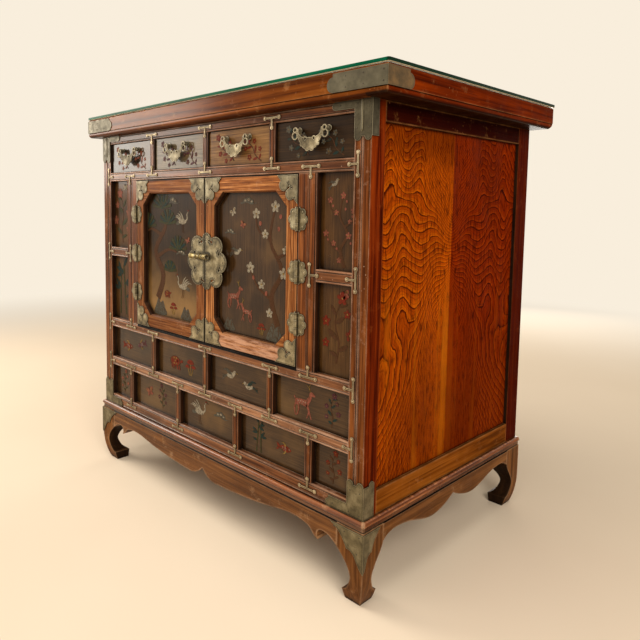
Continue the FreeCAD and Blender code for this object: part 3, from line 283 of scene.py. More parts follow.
def slab_overhang_shade(g):
    """Painted shade under the slab where it stands out over the sides."""
    over_side = g.over(g.size(g.at(0)), POST_SIDE_X)
    return g.product(over_side, g.span(g.facing()[2], -0.15, -0.6, 0.75))


def polished(g, most):
    """A coat that is best kept on the left of the front and rubbed off on the right."""
    return g.span(g.at(0), 0.22, -0.12, most, 0.25 * most)


def wood(name, grain, tones, worn, wear, ends=None, breadth=1, end_tint=WHITE, shade_and_dirt_mask=None, polish=0,
         **finish):
    """A wood with its grain along one axis, along another on the matt faces at its ends; painted shade
    underneath.
    """
    g = Graph(name)
    scale = GRAIN[grain]
    across, _, up = g.facing()
    if ends:
        at_end = g.over(g.size(across), 0.7)
        scale = g.mix(at_end, (*scale, 1), (*GRAIN[ends], 1))
    fine = (1 / breadth,) * 3
    height = streaks(g, g.times(g.times(g.place(), fine), scale), tones)
    if polish:
        finish["coat"] = polished(g, polish)
    if ends:
        g.lay(at_end, end_tint, "MULTIPLY")
        if "coat" in finish:
            finish["coat"] = g.product(finish["coat"], g.minus(1, at_end))
    # Painted shade on faces that look down
    g.lay(g.span(up, -0.25, -0.9, 0.7), tones[0])
    if shade_and_dirt_mask:
        finish["dirt_and_shade"] = shade_and_dirt_mask(g)
    return aged(g, height, worn, wear, **{"rough": 0.46, **finish})


RAIL_TONES = tints((66, 35, 18), (116, 69, 38), (158, 103, 64))
TOP_RAIL_TONES = tints((54, 26, 10), (102, 55, 24), (146, 89, 48))
WORN_RAIL_TONES = tints((90, 54, 33), (150, 101, 68), (194, 144, 108))
FRAME_TONES = tints((58, 27, 9), (108, 57, 23), (152, 90, 44))
FRAME_WORN = srgb(196, 160, 134)
POST_TONES = tints((52, 12, 2), (104, 32, 5), (138, 54, 12))
LOW_RAIL_TONES = tints((88, 44, 9), (128, 69, 17), (152, 90, 29))
SLAB_TONES = tints((62, 25, 3), (116, 58, 12), (150, 84, 26))
SLAB_END_TINT = (0.98, 0.44, 0.1, 1.0)
STAND_TONES = tints((76, 43, 17), (108, 66, 31), (138, 90, 47))
STAND_WORN = srgb(200, 160, 120)
WAIST_TONES = tints((78, 36, 14), (134, 74, 36), (176, 110, 62))
INNER_TONES = tints((116, 84, 52), (164, 126, 84), (192, 154, 110))
INNER_WORN = srgb(205, 175, 135)
BACK_TONES = tints((70, 42, 26), (112, 72, 46), (136, 92, 62))
DOOR_TONES = tints((82, 42, 18), (150, 90, 45), (202, 140, 84))


def side_rail_wood():
    """Side rails: deep red, in painted shade under the slab, paler and browner at the foot."""
    g = Graph("side_rail_wood")
    vector = g.times(g.place(), GRAIN["y"])
    height = streaks(g, vector, POST_TONES)
    red = g.colour
    streaks(g, vector, LOW_RAIL_TONES)
    z = g.at(2)
    g.lay(g.span(z, 0.2, 0.6), red)
    # Painted shade: near black at the top, under the slab
    g.lay(g.span(z, 0.6, 0.72, 0.92), srgb(34, 3, 1))
    return aged(g, height, srgb(186, 128, 76), 0.55, 0.46, shine=0.004, grime_and_shade=0.75, reach=0.06)


def sill_wood():
    """The rail under the doors: like the others, with a painted shadow along its upper edge."""
    g = Graph("sill_wood")
    height = streaks(g, g.times(g.place(), GRAIN["x"]), RAIL_TONES)
    under = g.math("LESS_THAN", g.size(g.at(0)), 2 * DOOR_MID_X)
    # Painted shadow in a band along the top, under the doors; the coat is left off there
    dirt_and_shade = g.product(g.span(g.at(2), SILL_TOP - 0.0056, SILL_TOP - 0.0046), under)
    return aged(g, height, FRAME_WORN, 0.8, 0.4, dirt_and_shade=dirt_and_shade, coat=g.span(dirt_and_shade, 0.5, 0, 0.35))


def corner_post_wood():
    """Posts: brown and rubbed like the front frame on their faces, deep red on the cabinet's sides."""
    g = Graph("post_wood")
    vector = g.times(g.place(), GRAIN["z"])
    height = streaks(g, vector, POST_TONES)
    # Painted shade: darker towards the back posts
    g.lay(g.span(g.at(1), 0, 0.2, 0.7), srgb(58, 6, 1))
    red = g.colour
    streaks(g, vector, FRAME_TONES)
    outside = g.over(g.size(g.at(0)), POST_SIDE_X)
    g.lay(outside, red)
    worn = g.mix(outside, FRAME_WORN, srgb(140, 70, 30))
    return aged(g, height, worn, 0.75, 0.46, shine=0.004, dirt_and_shade=inner_face_shade(g),
                coat=g.product(polished(g, 0.4), g.minus(1, outside)))


def door_frame_wood():
    """Door wood: upright grain in the stiles, level grain in the rails, with a fine joint line between."""
    g = Graph("door_wood")
    place = g.place()
    x, _, z = g.parts(place)
    off = g.size(g.minus(g.size(x), DOOR_MID_X))
    stile = g.over(off, DOOR_OPEN_HALF)
    scale = g.mix(stile, (*GRAIN["x"], 1), (*GRAIN["z"], 1))
    height = streaks(g, g.times(g.times(place, scale), (2.4,) * 3), DOOR_TONES)
    joint = g.span(g.size(g.minus(off, DOOR_OPEN_HALF)), 0.0009, 0.0003)
    g.lay(g.product(joint, 0.6), srgb(60, 30, 16))
    across, front, _ = g.facing()
    g.lay(g.span(front, -0.96, -0.85, 0.6), srgb(58, 26, 11))

    # The left door is darker, the right one golden at its head and scuffed at its foot
    right = g.over(x, 0)
    g.lay(g.span(right, 1, 0, 0.38), srgb(92, 52, 30))
    rise = g.minus(z, DOOR_MID_Z)
    rail = DOOR_HALF_Z - DOOR_RAIL
    head = g.product(right, g.span(rise, rail, rail + 0.004))
    g.lay(head, (1.35, 1.38, 1.35, 1), "MULTIPLY")
    foot = g.product(right, g.span(rise, -rail, -rail - 0.004))
    scuffed = g.span(g.noise(g.times(place, (26, 26, 150)), 1, 7, 0.75), 0.36, 0.62, 0.8)
    g.lay(g.product(foot, scuffed), srgb(204, 158, 130))

    # Painted shade along the door's rims, at the gaps, and on faces that look left and right
    rim_x = g.span(off, DOOR_HALF_X - 0.0016, DOOR_HALF_X - 0.0008)
    rim_z = g.span(g.size(rise), DOOR_HALF_Z - 0.002, DOOR_HALF_Z - 0.001)
    dirt_and_shade = g.larger(g.larger(rim_x, rim_z), g.span(g.size(across), 0.2, 0.5, 0.8))
    return aged(g, height, srgb(212, 168, 132), 0.45, 0.42, dirt_and_shade=dirt_and_shade)


# Book-matched side veneer
VENEER_JOINT_Y = -0.0185
VENEER_TONES = tints((62, 15, 1), (188, 79, 3), (228, 112, 8))
REAR_LEAF_SHADE = (0.47, 0.25, 0.22, 1.0)
WAVE_WIDTH = 0.088
WAVE_RISE = 0.016
LINE_STEP = 0.0175
FINE_STEP = 0.0047
KNOT_Z = 0.535


def flame_veneer():
    """Waves of dark lines above, drawn-out streaks below, mirrored at a joint."""
    g = Graph("flame_veneer")
    place = g.place()
    x, y, z = g.parts(place)
    across = g.minus(g.math("ADD", y, g.sway(place, 5, 2, 0.006)), VENEER_JOINT_Y)
    u = g.size(across)
    leaf = g.vector(u, g.math("SIGN", x), z)

    # Two waves a leaf, tall in the middle, turned over at the top, drawn out into streaks below
    upper = g.span(z, 0.3, 0.45)
    crown = g.span(z, 0.57, 0.66, -1.9, 1)
    bend = g.sway(leaf, 13, 3, 3, 0.5)
    phase = g.math("MULTIPLY_ADD", u, 2 * pi / WAVE_WIDTH, bend)
    waves = g.product(g.math("COSINE", g.minus(phase, 3.6)), WAVE_RISE)
    waves = g.product(g.product(waves, crown), upper)
    pull = g.math("EXPONENT", g.product(u, -22))
    rise = g.math("MULTIPLY_ADD", g.product(g.minus(z, KNOT_Z), pull), 2.8, z)
    fan = g.product(g.minus(1, upper), g.product(u, 0.9))
    rings = g.math("ADD", g.minus(rise, waves), fan)
    rough_line = g.minus(g.noise(g.times(leaf, (60, 1, 30)), 1, 4, 0.6), 0.5)
    rings = g.math("MULTIPLY_ADD", rough_line, 0.006, rings)
    rings = g.math("MULTIPLY_ADD", g.minus(g.noise(leaf, 6, 2), 0.5), 0.1, rings)
    line = g.math("FRACT", g.math("DIVIDE", g.math("ADD", rings, g.sway(leaf, 34, 2, 0.004)), LINE_STEP))
    fine = g.math("FRACT", g.math("DIVIDE", rings, FINE_STEP))

    dark, mid, light = VENEER_TONES
    g.colour = g.ramp(line, (0, light), (0.5, mid), (0.8, mid), (0.92, dark), (0.98, dark), (1, light))
    g.lay(g.span(fine, 0.6, 0.95, 0.42), dark)
    fibres = g.noise(g.times(leaf, (520, 1, 12)), 1, 4, 0.65)
    g.lay(g.span(fibres, 0.42, 0.68, 0.6), srgb(70, 20, 2))
    ticks = g.noise(g.times(leaf, (270, 1, 48)), 1, 3, 0.6)
    g.lay(g.span(ticks, 0.5, 0.63, 0.72), srgb(52, 12, 1))
    bands = g.noise(g.times(leaf, (34, 1, 1.6)), 1, 3, 0.6)
    golden = g.product(g.span(bands, 0.5, 0.66), g.span(z, 0.52, 0.36, 0.6))
    g.lay(golden, srgb(214, 120, 18))
    # Painted shade: the rear leaf darker, less so towards the bottom
    back = g.product(g.span(across, -0.001, 0.001), g.span(z, 0.2, 0.42, 1, 0.72))
    g.lay(back, REAR_LEAF_SHADE, "MULTIPLY")
    # Painted shadow of the slab across the top of the front leaf
    shadow_under_slab = g.product(g.span(across, 0.001, -0.001), g.span(z, 0.645, 0.7, 0.6))
    g.lay(shadow_under_slab, srgb(62, 14, 1))
    clouds = g.span(g.noise(g.times(place, (5, 7, 3)), 1, 4, 0.6), 0.38, 0.66)
    low = g.span(z, 0.5, 0.22, 0.3)
    g.lay(g.math("MULTIPLY_ADD", clouds, 0.36, low), srgb(74, 18, 1))
    return aged(g, g.math("ADD", fine, fibres), srgb(196, 112, 50), 0.08, 0.46, shine=0.004,
                grime_and_shade=0.4, reach=0.03)


# Dark lacquered panels, with the grain of the board under the lacquer
LACQUER_ROUGH = 0.1
LACQUER_RELIEF = 0.0004


def lacquer(name, grain, tones, coat=0.45, foot=None):
    """A dark lacquered board; foot is the tone of a painted reflection, which its front fades to below the
    doors' middle.
    """
    g = Graph(name)
    place = g.place()
    dark, mid, light = tones
    figure = g.noise(g.times(g.times(place, GRAIN[grain]), (3.5,) * 3), 1, 5, 0.6)
    g.colour = g.ramp(figure, (0.32, dark), (0.52, mid), (0.74, light))
    haze = g.noise(place, 16, 5, 0.6)
    g.lay(g.span(haze, 0.45, 0.75, 0.45), light)
    clouds = g.noise(place, 8, 3)
    g.lay(g.span(clouds, 0.5, 0.72, 0.55), srgb(112, 82, 44))
    g.lay(g.span(clouds, 0.48, 0.3, 0.6), srgb(30, 19, 10))
    # Painted reflection: a golden tone low on the front of the panel
    if foot:
        low_reflection = g.span(g.at(2), DOOR_MID_Z - 0.02, DOOR_MID_Z - 0.11, 0.8)
        low_reflection = g.product(low_reflection, g.span(g.facing()[1], 0, -0.5))
        g.lay(g.product(low_reflection, g.span(haze, 0.3, 0.6, 1, 0.5)), foot)
    specks = g.span(g.cells(place, 260), 0.13, 0.05, 0.5)
    specks = g.product(specks, g.span(g.noise(place, 30), 0.5, 0.62))
    g.lay(specks, srgb(150, 132, 108))
    # Painted shade near the frames and in corners
    g.shade(g.span(g.openness(0.014), 0.35, 0.95, 1, 0.15))
    return g.finish(Roughness=g.span(haze, 0.3, 0.7, 0.52, 0.36), Coat_Weight=coat,
                    Coat_Roughness=LACQUER_ROUGH, Specular_IOR_Level=0.05,
                    Normal=g.bump(figure, 0.12, LACQUER_RELIEF, g.rounded(0.001)))


PANEL_TONES = tints((46, 29, 13), (64, 43, 22), (84, 59, 33))
DARK_PANEL_TONES = tints((30, 19, 8), (46, 30, 14), (66, 45, 23))
GREY_PANEL_TONES = tints((68, 56, 38), (98, 83, 59), (134, 116, 86))
TAN_PANEL_TONES = tints((82, 53, 25), (122, 85, 46), (158, 118, 70))
COLUMN_TONES = tints((52, 32, 12), (76, 49, 21), (100, 68, 34))
# Each drawer has its own copy of the lacquer and coat; the grey copy is partly a painted reflection
DRAWER_LACQUERS = ((DARK_PANEL_TONES, 0.56), (GREY_PANEL_TONES, 0.36), (TAN_PANEL_TONES, 0.28),
                   (DARK_PANEL_TONES, 0.08))


# Metal: a mottled patina, bright along the edges, dull in the corners, with a dark line chased inside the rim
CHASED_INSET = 0.0035
LOCK_INSET = 0.008
SLEEVE_OUT = 0.002
METAL_ROUND = 0.0007
METAL_RELIEF = 0.0004


def darker(axis, low, high, most):
    """What makes a metal darker from one place to another along an axis."""
    return lambda g: g.span(g.at(axis), low, high, most)


def lock_seam(g):
    """Dirt along the seam between the two halves of the lock."""
    return g.span(g.size(g.at(0)), 0.003, 0.0022)


def metal(name, tones, rough=0.42, spots=0.5, grime_and_shade=0.6, sleeves=None, shade_and_seam=None, engraved=0,
          inset=CHASED_INSET, sides=None):
    """A patinated metal; sleeves is the tone of what stands well out from the front, shade_and_seam what is
    darker (painted shade, and the lock's dirty seam), and sides tints the faces that look left and right with
    a painted reflection."""
    g = Graph(name)
    place = g.place()
    dark, mid, light = tones
    mottle = g.noise(place, 48, 6, 0.6)
    g.colour = g.ramp(mottle, (0.3, dark), (0.5, mid), (0.72, light))
    if sleeves:
        g.lay(g.math("LESS_THAN", g.at(1), FACE_Y - SLEEVE_OUT), sleeves)
    g.lay(g.product(g.span(g.noise(place, 190, 3), 0.56, 0.68), spots), dark)
    flat = g.add("NewGeometry", {}).outputs["Normal"]
    broad = g.add("Bevel", {"Radius": inset}, samples=16).outputs["Normal"]
    turn = g.add("VectorMath", {0: broad, 1: flat}, operation="DOT_PRODUCT").outputs["Value"]
    chased = g.product(g.span(turn, 0.9995, 0.992), g.span(turn, 0.9, 0.97))
    ticks = g.span(g.cells(place, 380), 0.22, 0.42, engraved)
    rim = g.product(g.span(turn, 0.9998, 0.99), ticks)
    g.lay(g.larger(g.product(chased, 0.7), rim), srgb(40, 34, 22))
    if shade_and_seam:
        g.lay(shade_and_seam(g), srgb(30, 25, 17))
    if sides:
        g.lay(g.span(g.size(g.facing()[0]), 0.5, 0.8), sides, "MULTIPLY")
    g.lay(g.product(g.edges(0.0012), 0.5), light)
    g.shade(g.span(g.openness(0.006), 0.3, 0.85, 1, 1 - grime_and_shade))
    gloss = g.span(mottle, 0.3, 0.7, rough - 0.08, rough + 0.12)
    return g.finish(Metallic=0.8, Roughness=gloss,
                    Normal=g.bump(mottle, 0.12, METAL_RELIEF, g.rounded(METAL_ROUND)))


NICKEL_TONES = tints((74, 66, 46), (108, 98, 72), (144, 134, 106))
PLATE_TONES = tints((68, 61, 44), (134, 121, 91), (186, 174, 142))
DARK_NICKEL_TONES = tints((46, 41, 30), (72, 66, 49), (100, 93, 74))
SIDE_REFLECTION_BROWN = (2.1, 1.1, 0.25, 1.0)
BRACE_TONES = tints((86, 72, 52), (140, 122, 92), (200, 181, 146))
PALE_BRASS_TONES = tints((66, 58, 42), (140, 127, 99), (206, 194, 163))
BRASS_TONES = tints((120, 103, 60), (174, 155, 104), (212, 197, 148))
IRON_TONES = tints((24, 20, 16), (48, 42, 34), (92, 84, 70))


# CAD nodes take their finish here
def dress(material, *names):
    for name in names:
        for slot in nodes[name].material_slots:
            slot.material = material


dress(sill_wood(), "rail_sill")
dress(wood("top_rail_wood", "x", TOP_RAIL_TONES, FRAME_WORN, 0.45, rough=0.42, polish=0.36), "rail_top")
dress(wood("rail_wood", "x", RAIL_TONES, FRAME_WORN, 0.55, rough=0.4, polish=0.45),
      "rail_drawer", "rail_bottom", "cross_rails")
dress(wood("worn_rail_wood", "x", WORN_RAIL_TONES, FRAME_WORN, 0.95, rough=0.4, coat=0.3), "rail_lower")
dress(wood("upright_wood", "z", FRAME_TONES, FRAME_WORN, 0.3, rough=0.4, polish=0.25, shade_and_dirt_mask=reveal_shade),
      "drawer_dividers", "mullions", "row_dividers")
dress(corner_post_wood(), "posts_front", "posts_back")
dress(side_rail_wood(), "side_rails")
dress(wood("slab_wood", "x", SLAB_TONES, srgb(206, 150, 96), 0.45, "y", 2.2, SLAB_END_TINT, slab_overhang_shade,
           0.38, rough=0.42, shine=0.006, alone=True), "top_slab")
dress(wood("waist_wood", "x", WAIST_TONES, STAND_WORN, 0.6, "y", shade_and_dirt_mask=waist_hollow, rough=0.3, shine=0.1,
           coat=0.7), "waist_moulding")
dress(wood("stand_wood", "x", STAND_TONES, STAND_WORN, 0.65, "y", shade_and_dirt_mask=waist_joint, rough=0.38, shine=0.15),
      "apron_front", "apron_back")
dress(wood("stand_side_wood", "y", STAND_TONES, STAND_WORN, 0.5, shade_and_dirt_mask=waist_joint), "apron_sides")
dress(wood("leg_wood", "z", STAND_TONES, STAND_WORN, 0.5, shade_and_dirt_mask=inner_face_shade), "legs_front", "legs_back")
dress(door_frame_wood(), "door_frame_left", "door_frame_right")
dress(flame_veneer(), "side_panels")
dress(lacquer("column_lacquer", "z", COLUMN_TONES, 0.26), "column_panels")
dress(lacquer("right_lacquer", "z", PANEL_TONES, 0.4), "door_panel_right")
dress(lacquer("left_lacquer", "z", DARK_PANEL_TONES, 0.25, srgb(150, 114, 68)), "door_panel_left")
dress(lacquer("level_lacquer", "x", PANEL_TONES), "row_panels")
dress(wood("inner_wood", "x", INNER_TONES, INNER_WORN, 0.2, rough=0.68),
      "bottom_board", "dust_board", "shelf")
inner_side_wood = wood("inner_side_wood", "y", INNER_TONES, INNER_WORN, 0.2, rough=0.68)
dress(inner_side_wood, "drawer_guides", "battens")
dress(wood("back_wood", "z", BACK_TONES, srgb(165, 125, 88), 0.4, rough=0.66), "back_panel", "back_rails")

# Painted shade: the brackets under the slab and the upper plates on the doors are the darker ones; the pulls
# on the left are darker too
bracket_nickel = metal("bracket_nickel", NICKEL_TONES, shade_and_seam=darker(2, 0.3, 0.6, 0.65))
brace_brass = metal("brace_brass", BRACE_TONES, 0.42, 0.4)
pale_brass = metal("pale_brass", PALE_BRASS_TONES, 0.56, 0.6, 0.8, shade_and_seam=darker(0, 0.1, -0.15, 0.55))
iron = metal("nail_iron", IRON_TONES, 0.5)
dress(metal("plate_nickel", PLATE_TONES, shade_and_seam=darker(2, 0.54, 0.63, 0.4), engraved=0.7),
      "door_mounts_left", "door_mounts_right", "hinge_leaves")
dress(metal("lock_nickel", PLATE_TONES, sleeves=srgb(184, 162, 100), shade_and_seam=lock_seam, engraved=0.9,
            inset=LOCK_INSET), "lock_plate_left", "lock_plate_right")
dress(metal("aged_nickel", NICKEL_TONES), "leg_mounts")
dress(bracket_nickel, "post_brackets")
# The slab mounts' side faces are tinted brown as a painted reflection
dress(metal("dark_nickel", DARK_NICKEL_TONES, 0.5, sides=SIDE_REFLECTION_BROWN), "slab_mounts")
dress(brace_brass, "t_braces")
dress(metal("brass", BRASS_TONES, 0.48, 0.3), "latch_bar")
for i, (tones, coat) in enumerate(DRAWER_LACQUERS, 1):
    dress(lacquer(f"drawer_lacquer_{i}", "x", tones, coat), f"drawer_front_{i}")
    dress(inner_side_wood, f"drawer_box_{i}")
    dress(pale_brass, f"pull_{i}", f"pull_posts_{i}")


def link(name, data):
    made = bpy.data.objects.new(name, data)
    bpy.context.scene.collection.objects.link(made)
    return made


def mesh_of(name, bm, *materials):
    """A finished mesh as an object in the scene."""
    mesh = bpy.data.meshes.new(name)
    bm.normal_update()
    bm.to_mesh(mesh)
    bm.free()
    for material in materials:
        mesh.materials.append(material)
    return link(name, mesh)


def piece(name, bm, body, slot, *materials):
    """A mesh as a named piece of the object, riding on its body."""
    made = mesh_of(name, bm, *materials)
    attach(made, body)
    return made


# Glass top: polished plate with a green edge, a hair above the slab
GLASS_SEAT = 0.0004
GLASS_CORNER = 0.004
GLASS_ARRIS = 0.0008
GLASS_HEM = 0.003
GLASS_SHADED_SIDE_X = (0.412, 0.417)
GLASS_TONES = tints((226, 244, 236), (236, 250, 244))
GLASS_EDGE_TONES = tints((0, 60, 40), (2, 106, 74))


def clear_glass():
    g = Graph("clear_glass")
    smears = g.noise(g.place(), 9, 5, 0.6)
    g.colour = g.ramp(smears, *zip((0.3, 0.7), GLASS_TONES))
    return g.finish(IOR=1.5, Roughness=g.span(smears, 0.35, 0.75, 0.05, 0.01), Transmission_Weight=1)


def edge_glass():
    """The cut edge: light that ran the length of the sheet, so a deep green, in painted shade on the
    right-hand edge; its lower arris has a painted highlight.
    """
    g = Graph("edge_glass")
    side = g.span(g.at(0), *GLASS_SHADED_SIDE_X)
    streak = g.noise(g.times(g.place(), (6, 6, 300)), 1, 3)
    g.colour = g.ramp(streak, *zip((0.3, 0.7), GLASS_EDGE_TONES))
    # Painted shade on the right-hand edge
    g.lay(side, srgb(2, 36, 20))
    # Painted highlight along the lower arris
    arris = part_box("glass_top")[0][2] + GLASS_SEAT + GLASS_ARRIS
    g.lay(g.span(g.at(2), arris - 0.0002, arris - 0.0005), srgb(216, 204, 176))
    return g.finish(Roughness=g.span(streak, 0.3, 0.7, 0.3, 0.15), Specular_IOR_Level=0.04)


def glass_top():
    low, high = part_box("glass_top")
    low = (low[0], low[1], low[2] + GLASS_SEAT)
    size = [b - a for a, b in zip(low, high)]
    centre = [(a + b) / 2 for a, b in zip(low, high)]
    bm = bmesh.new()
    bmesh.ops.create_cube(bm, size=1.0, matrix=Matrix.Translation(centre) @ Matrix.Diagonal((*size, 1.0)))
    for upright, offset, segments in ((True, GLASS_CORNER, 4), (False, GLASS_ARRIS, 2)):
        edges = [e for e in bm.edges if (abs(e.verts[0].co.z - e.verts[1].co.z) > GLASS_SEAT) == upright]
        bmesh.ops.bevel(bm, geom=edges, offset=offset, segments=segments, affect="EDGES", profile=0.5)
    bm.normal_update()
    under = [face for face in bm.faces if face.normal.z < -0.99]
    hem = bmesh.ops.inset_region(bm, faces=under, thickness=GLASS_HEM)["faces"]
    bm.normal_update()
    for face in bm.faces:
        face.material_index = 0 if abs(face.normal.z) > 0.99 and face not in hem else 1
    made = piece("glass_sheet", bm, "carcass", "glass", clear_glass(), edge_glass())
    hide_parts("glass_top")


glass_top()

# The post's bead shows through the upper brackets as a rib
RIB_X = 0.3631
RIB_HALF = 0.0017
RIB_PROUD = 0.0012
RIB_L = 0.046
RIB_TAPER = 0.003


def bracket_ribs():
    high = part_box("post_brackets")[1][2]
    low = high - RIB_L
    bm = bmesh.new()
    for side in (-1, 1):
        rows = []
        for z, share in ((low, 0.2), (low + RIB_TAPER, 1.0), (high - 0.001, 1.0)):
            wide, proud = RIB_HALF * share, RIB_PROUD * share
            arc = [(wide * cos(pi * k / 6), proud * sin(pi * k / 6)) for k in range(7)]
            rows.append([bm.verts.new((side * RIB_X + a, FACE_Y - out, z)) for a, out in arc])
        for lower, upper in zip(rows, rows[1:]):
            for k in range(7):
                bm.faces.new((lower[k - 1], lower[k], upper[k], upper[k - 1]))
        bm.faces.new(rows[0])
        bm.faces.new(rows[-1])
    bmesh.ops.recalc_face_normals(bm, faces=bm.faces)
    piece("bracket_ribs", bm, "carcass", "aged_nickel", bracket_nickel)


bracket_ribs()

# Nail heads on the mounts; a place on a mount is (x, z)
NAIL_RISE = 0.55
BRACE_HALF = 0.0163
BRACE_STEM = 0.0158
BRACE_NAIL_R = 0.0017
POST_BRACE_X = 0.357
MULLION_BRACE_X = 0.266
MULLIONS = (-MULLION_BRACE_X, MULLION_BRACE_X)
DRAWER_DIVIDERS = (-0.1785, 0.0, 0.1785)
UPPER_DIVIDERS = (-0.17875, 0.0, 0.17875)
LOWER_DIVIDERS = (-0.2685, -0.0895, 0.0895, 0.2685)
HINGE_X = 0.24
HINGE_Z = (0.412, 0.4955, 0.579)
HINGE_RING = 0.0155
HINGE_NAIL_R = 0.0013
LOCK_AT = (0.0055, 0.4955)
LOCK_RING = 0.048
LOCK_NAIL_R = 0.0012
DOOR_MOUNT_X = (0.0023, 0.2382)
DOOR_MOUNT_NAILS = ((0.007, 0.007), (0.036, 0.006), (0.006, 0.036), (0.02, 0.011), (0.011, 0.02))
DOOR_MOUNT_NAIL_R = 0.001
BRACKET_TOP_NAILS = ((0.354, 0.006), (0.3755, 0.006), (0.354, 0.04), (0.3755, 0.04), (0.322, 0.006))
BRACKET_FOOT_NAILS = ((0.354, 0.006), (0.374, 0.006), (0.356, 0.04), (0.374, 0.04), (0.322, 0.007))
BRACKET_NAIL_R = 0.0011
SLAB_MOUNT_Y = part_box("slab_mounts")[0][1]
SLAB_NAILS = [(x, z) for x in (0.41, 0.376, 0.345) for z in (0.767, 0.782)]
SLAB_NAIL_R = 0.0012
LEG_MOUNT_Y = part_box("leg_mounts")[0][1]
LEG_NAILS = ((0.38, 0.115), (0.352, 0.114), (0.332, 0.115), (0.376, 0.088))
LEG_NAIL_R = 0.0011


def oval(x, z, wide, tall, turn=0, count=12):
    outline = []
    for k in range(count):
        a, b = wide * cos(2 * pi * k / count), tall * sin(2 * pi * k / count)
        outline.append((x + a * cos(turn) - b * sin(turn), z + a * sin(turn) + b * cos(turn)))
    return outline


def dome(bm, x, y, z, radius):
    """A low round head standing on a face that looks to the front."""
    rings, turns = 3, 10
    height = radius * NAIL_RISE
    rows = []
    for ring in range(rings):
        angle = ring / rings * pi / 2
        reach, out = radius * cos(angle), height * sin(angle)
        rows.append([bm.verts.new((a, y - out, b)) for a, b in oval(x, z, reach, reach, 0, turns)])
    top = bm.verts.new((x, y - height, z))
    for lower, upper in zip(rows, rows[1:]):
        for k in range(turns):
            bm.faces.new((lower[k], lower[k - turns + 1], upper[k - turns + 1], upper[k]))
    for k in range(turns):
        bm.faces.new((rows[-1][k], rows[-1][k - turns + 1], top))
    bm.faces.new(list(reversed(rows[0])))


def nails(name, body, spots, radius, y=FACE_Y, material=iron, slot="aged_nickel"):
    bm = bmesh.new()
    for x, z in spots:
        dome(bm, x, y, z, radius)
    made = piece(name, bm, body, slot, material)
    for polygon in made.data.polygons:
        polygon.use_smooth = True


def both_sides(spots):
    return [(side * x, z) for side in (-1, 1) for x, z in spots]


def polar(x, z, radius, turn):
    return x + radius * cos(turn), z + radius * sin(turn)


def round_nails(centre, radius, angles):
    return [polar(*centre, radius, radians(a)) for a in angles]


def brace_nails():
    """The three nails of each T brace."""
    rails = ("rail_top", "rail_drawer", "rail_sill", "rail_lower", "rail_bottom", "cross_rails")
    top, drawer, sill, lower, bottom, cross = [middle(name, 2) for name in rails]
    spots = []
    for crossings, z, way in (
            (DRAWER_DIVIDERS, top, -1), (DRAWER_DIVIDERS, drawer, 1), (MULLIONS, drawer, -1),
            (MULLIONS, sill, 1), (UPPER_DIVIDERS, sill, -1), (UPPER_DIVIDERS, lower, 1),
            (LOWER_DIVIDERS, lower, -1), (LOWER_DIVIDERS, bottom, 1)):
        for x in crossings:
            spots += [(x - BRACE_HALF, z), (x + BRACE_HALF, z), (x, z + way * BRACE_STEM)]
    lying = []
    for x, z, way in ((POST_BRACE_X, drawer, -1), (POST_BRACE_X, cross, -1), (MULLION_BRACE_X, cross, 1),
                      (POST_BRACE_X, sill, -1), (POST_BRACE_X, lower, -1)):
        lying += [(x, z - BRACE_HALF), (x, z + BRACE_HALF), (x + way * BRACE_STEM, z)]
    return spots + both_sides(lying)


def door_mount_nails(side):
    """Nails in the four corner plates of a door."""
    low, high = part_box("door_mounts_right")
    return [(side * (x + into_x * a), z + into_z * b) for x, into_x in zip(DOOR_MOUNT_X, (1, -1))
            for z, into_z in ((low[2], 1), (high[2], -1)) for a, b in DOOR_MOUNT_NAILS]


def bracket_nails():
    low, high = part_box("post_brackets")
    return both_sides([(x, high[2] - down) for x, down in BRACKET_TOP_NAILS]
                      + [(x, low[2] + up) for x, up in BRACKET_FOOT_NAILS])


nails("brace_nails", "carcass", brace_nails(), BRACE_NAIL_R, material=brace_brass, slot="pale_brass")
nails("bracket_nails", "carcass", bracket_nails(), BRACKET_NAIL_R)
nails("slab_mount_nails", "carcass", both_sides(SLAB_NAILS), SLAB_NAIL_R, SLAB_MOUNT_Y)
nails("leg_mount_nails", "carcass", both_sides(LEG_NAILS), LEG_NAIL_R, LEG_MOUNT_Y)
for side, sign in (("left", -1), ("right", 1)):
    door = "door_" + side
    for body, around in (("carcass", (-48, 0, 48)), (door, (132, 180, 228))):
        spots = [(sign * x, z) for height in HINGE_Z
                 for x, z in round_nails((HINGE_X, height), HINGE_RING, around)]
        nails(f"hinge_nails_{body}_{side}", body, spots, HINGE_NAIL_R, material=pale_brass)
    nails(f"ornament_nails_{side}", door, door_mount_nails(sign), DOOR_MOUNT_NAIL_R)
    rim = (-68, -30, 0, 30, 68) if sign > 0 else (112, 150, 180, 210, 248)
    nails(f"lock_nails_{side}", door, round_nails(LOCK_AT, LOCK_RING, rim), LOCK_NAIL_R)

# Painted motifs: a generic garden of old good-luck plants and animals, raised a hair above the lacquer
PAINT_PROUD = 0.0003
PAINT_LAYER = 0.00004
PAINT_LAYERS = 8
PAINT_ROOT = 0.0002
MOTIF_GRID = 100
PAINTS = {"white": (158, 148, 128), "rose": (140, 80, 64), "red": (116, 40, 26),
          "teal": (20, 50, 48), "gold": (140, 112, 56), "leaf": (54, 60, 36),
          "umber": (78, 50, 32), "slate": (84, 82, 72), "plum": (84, 46, 54)}


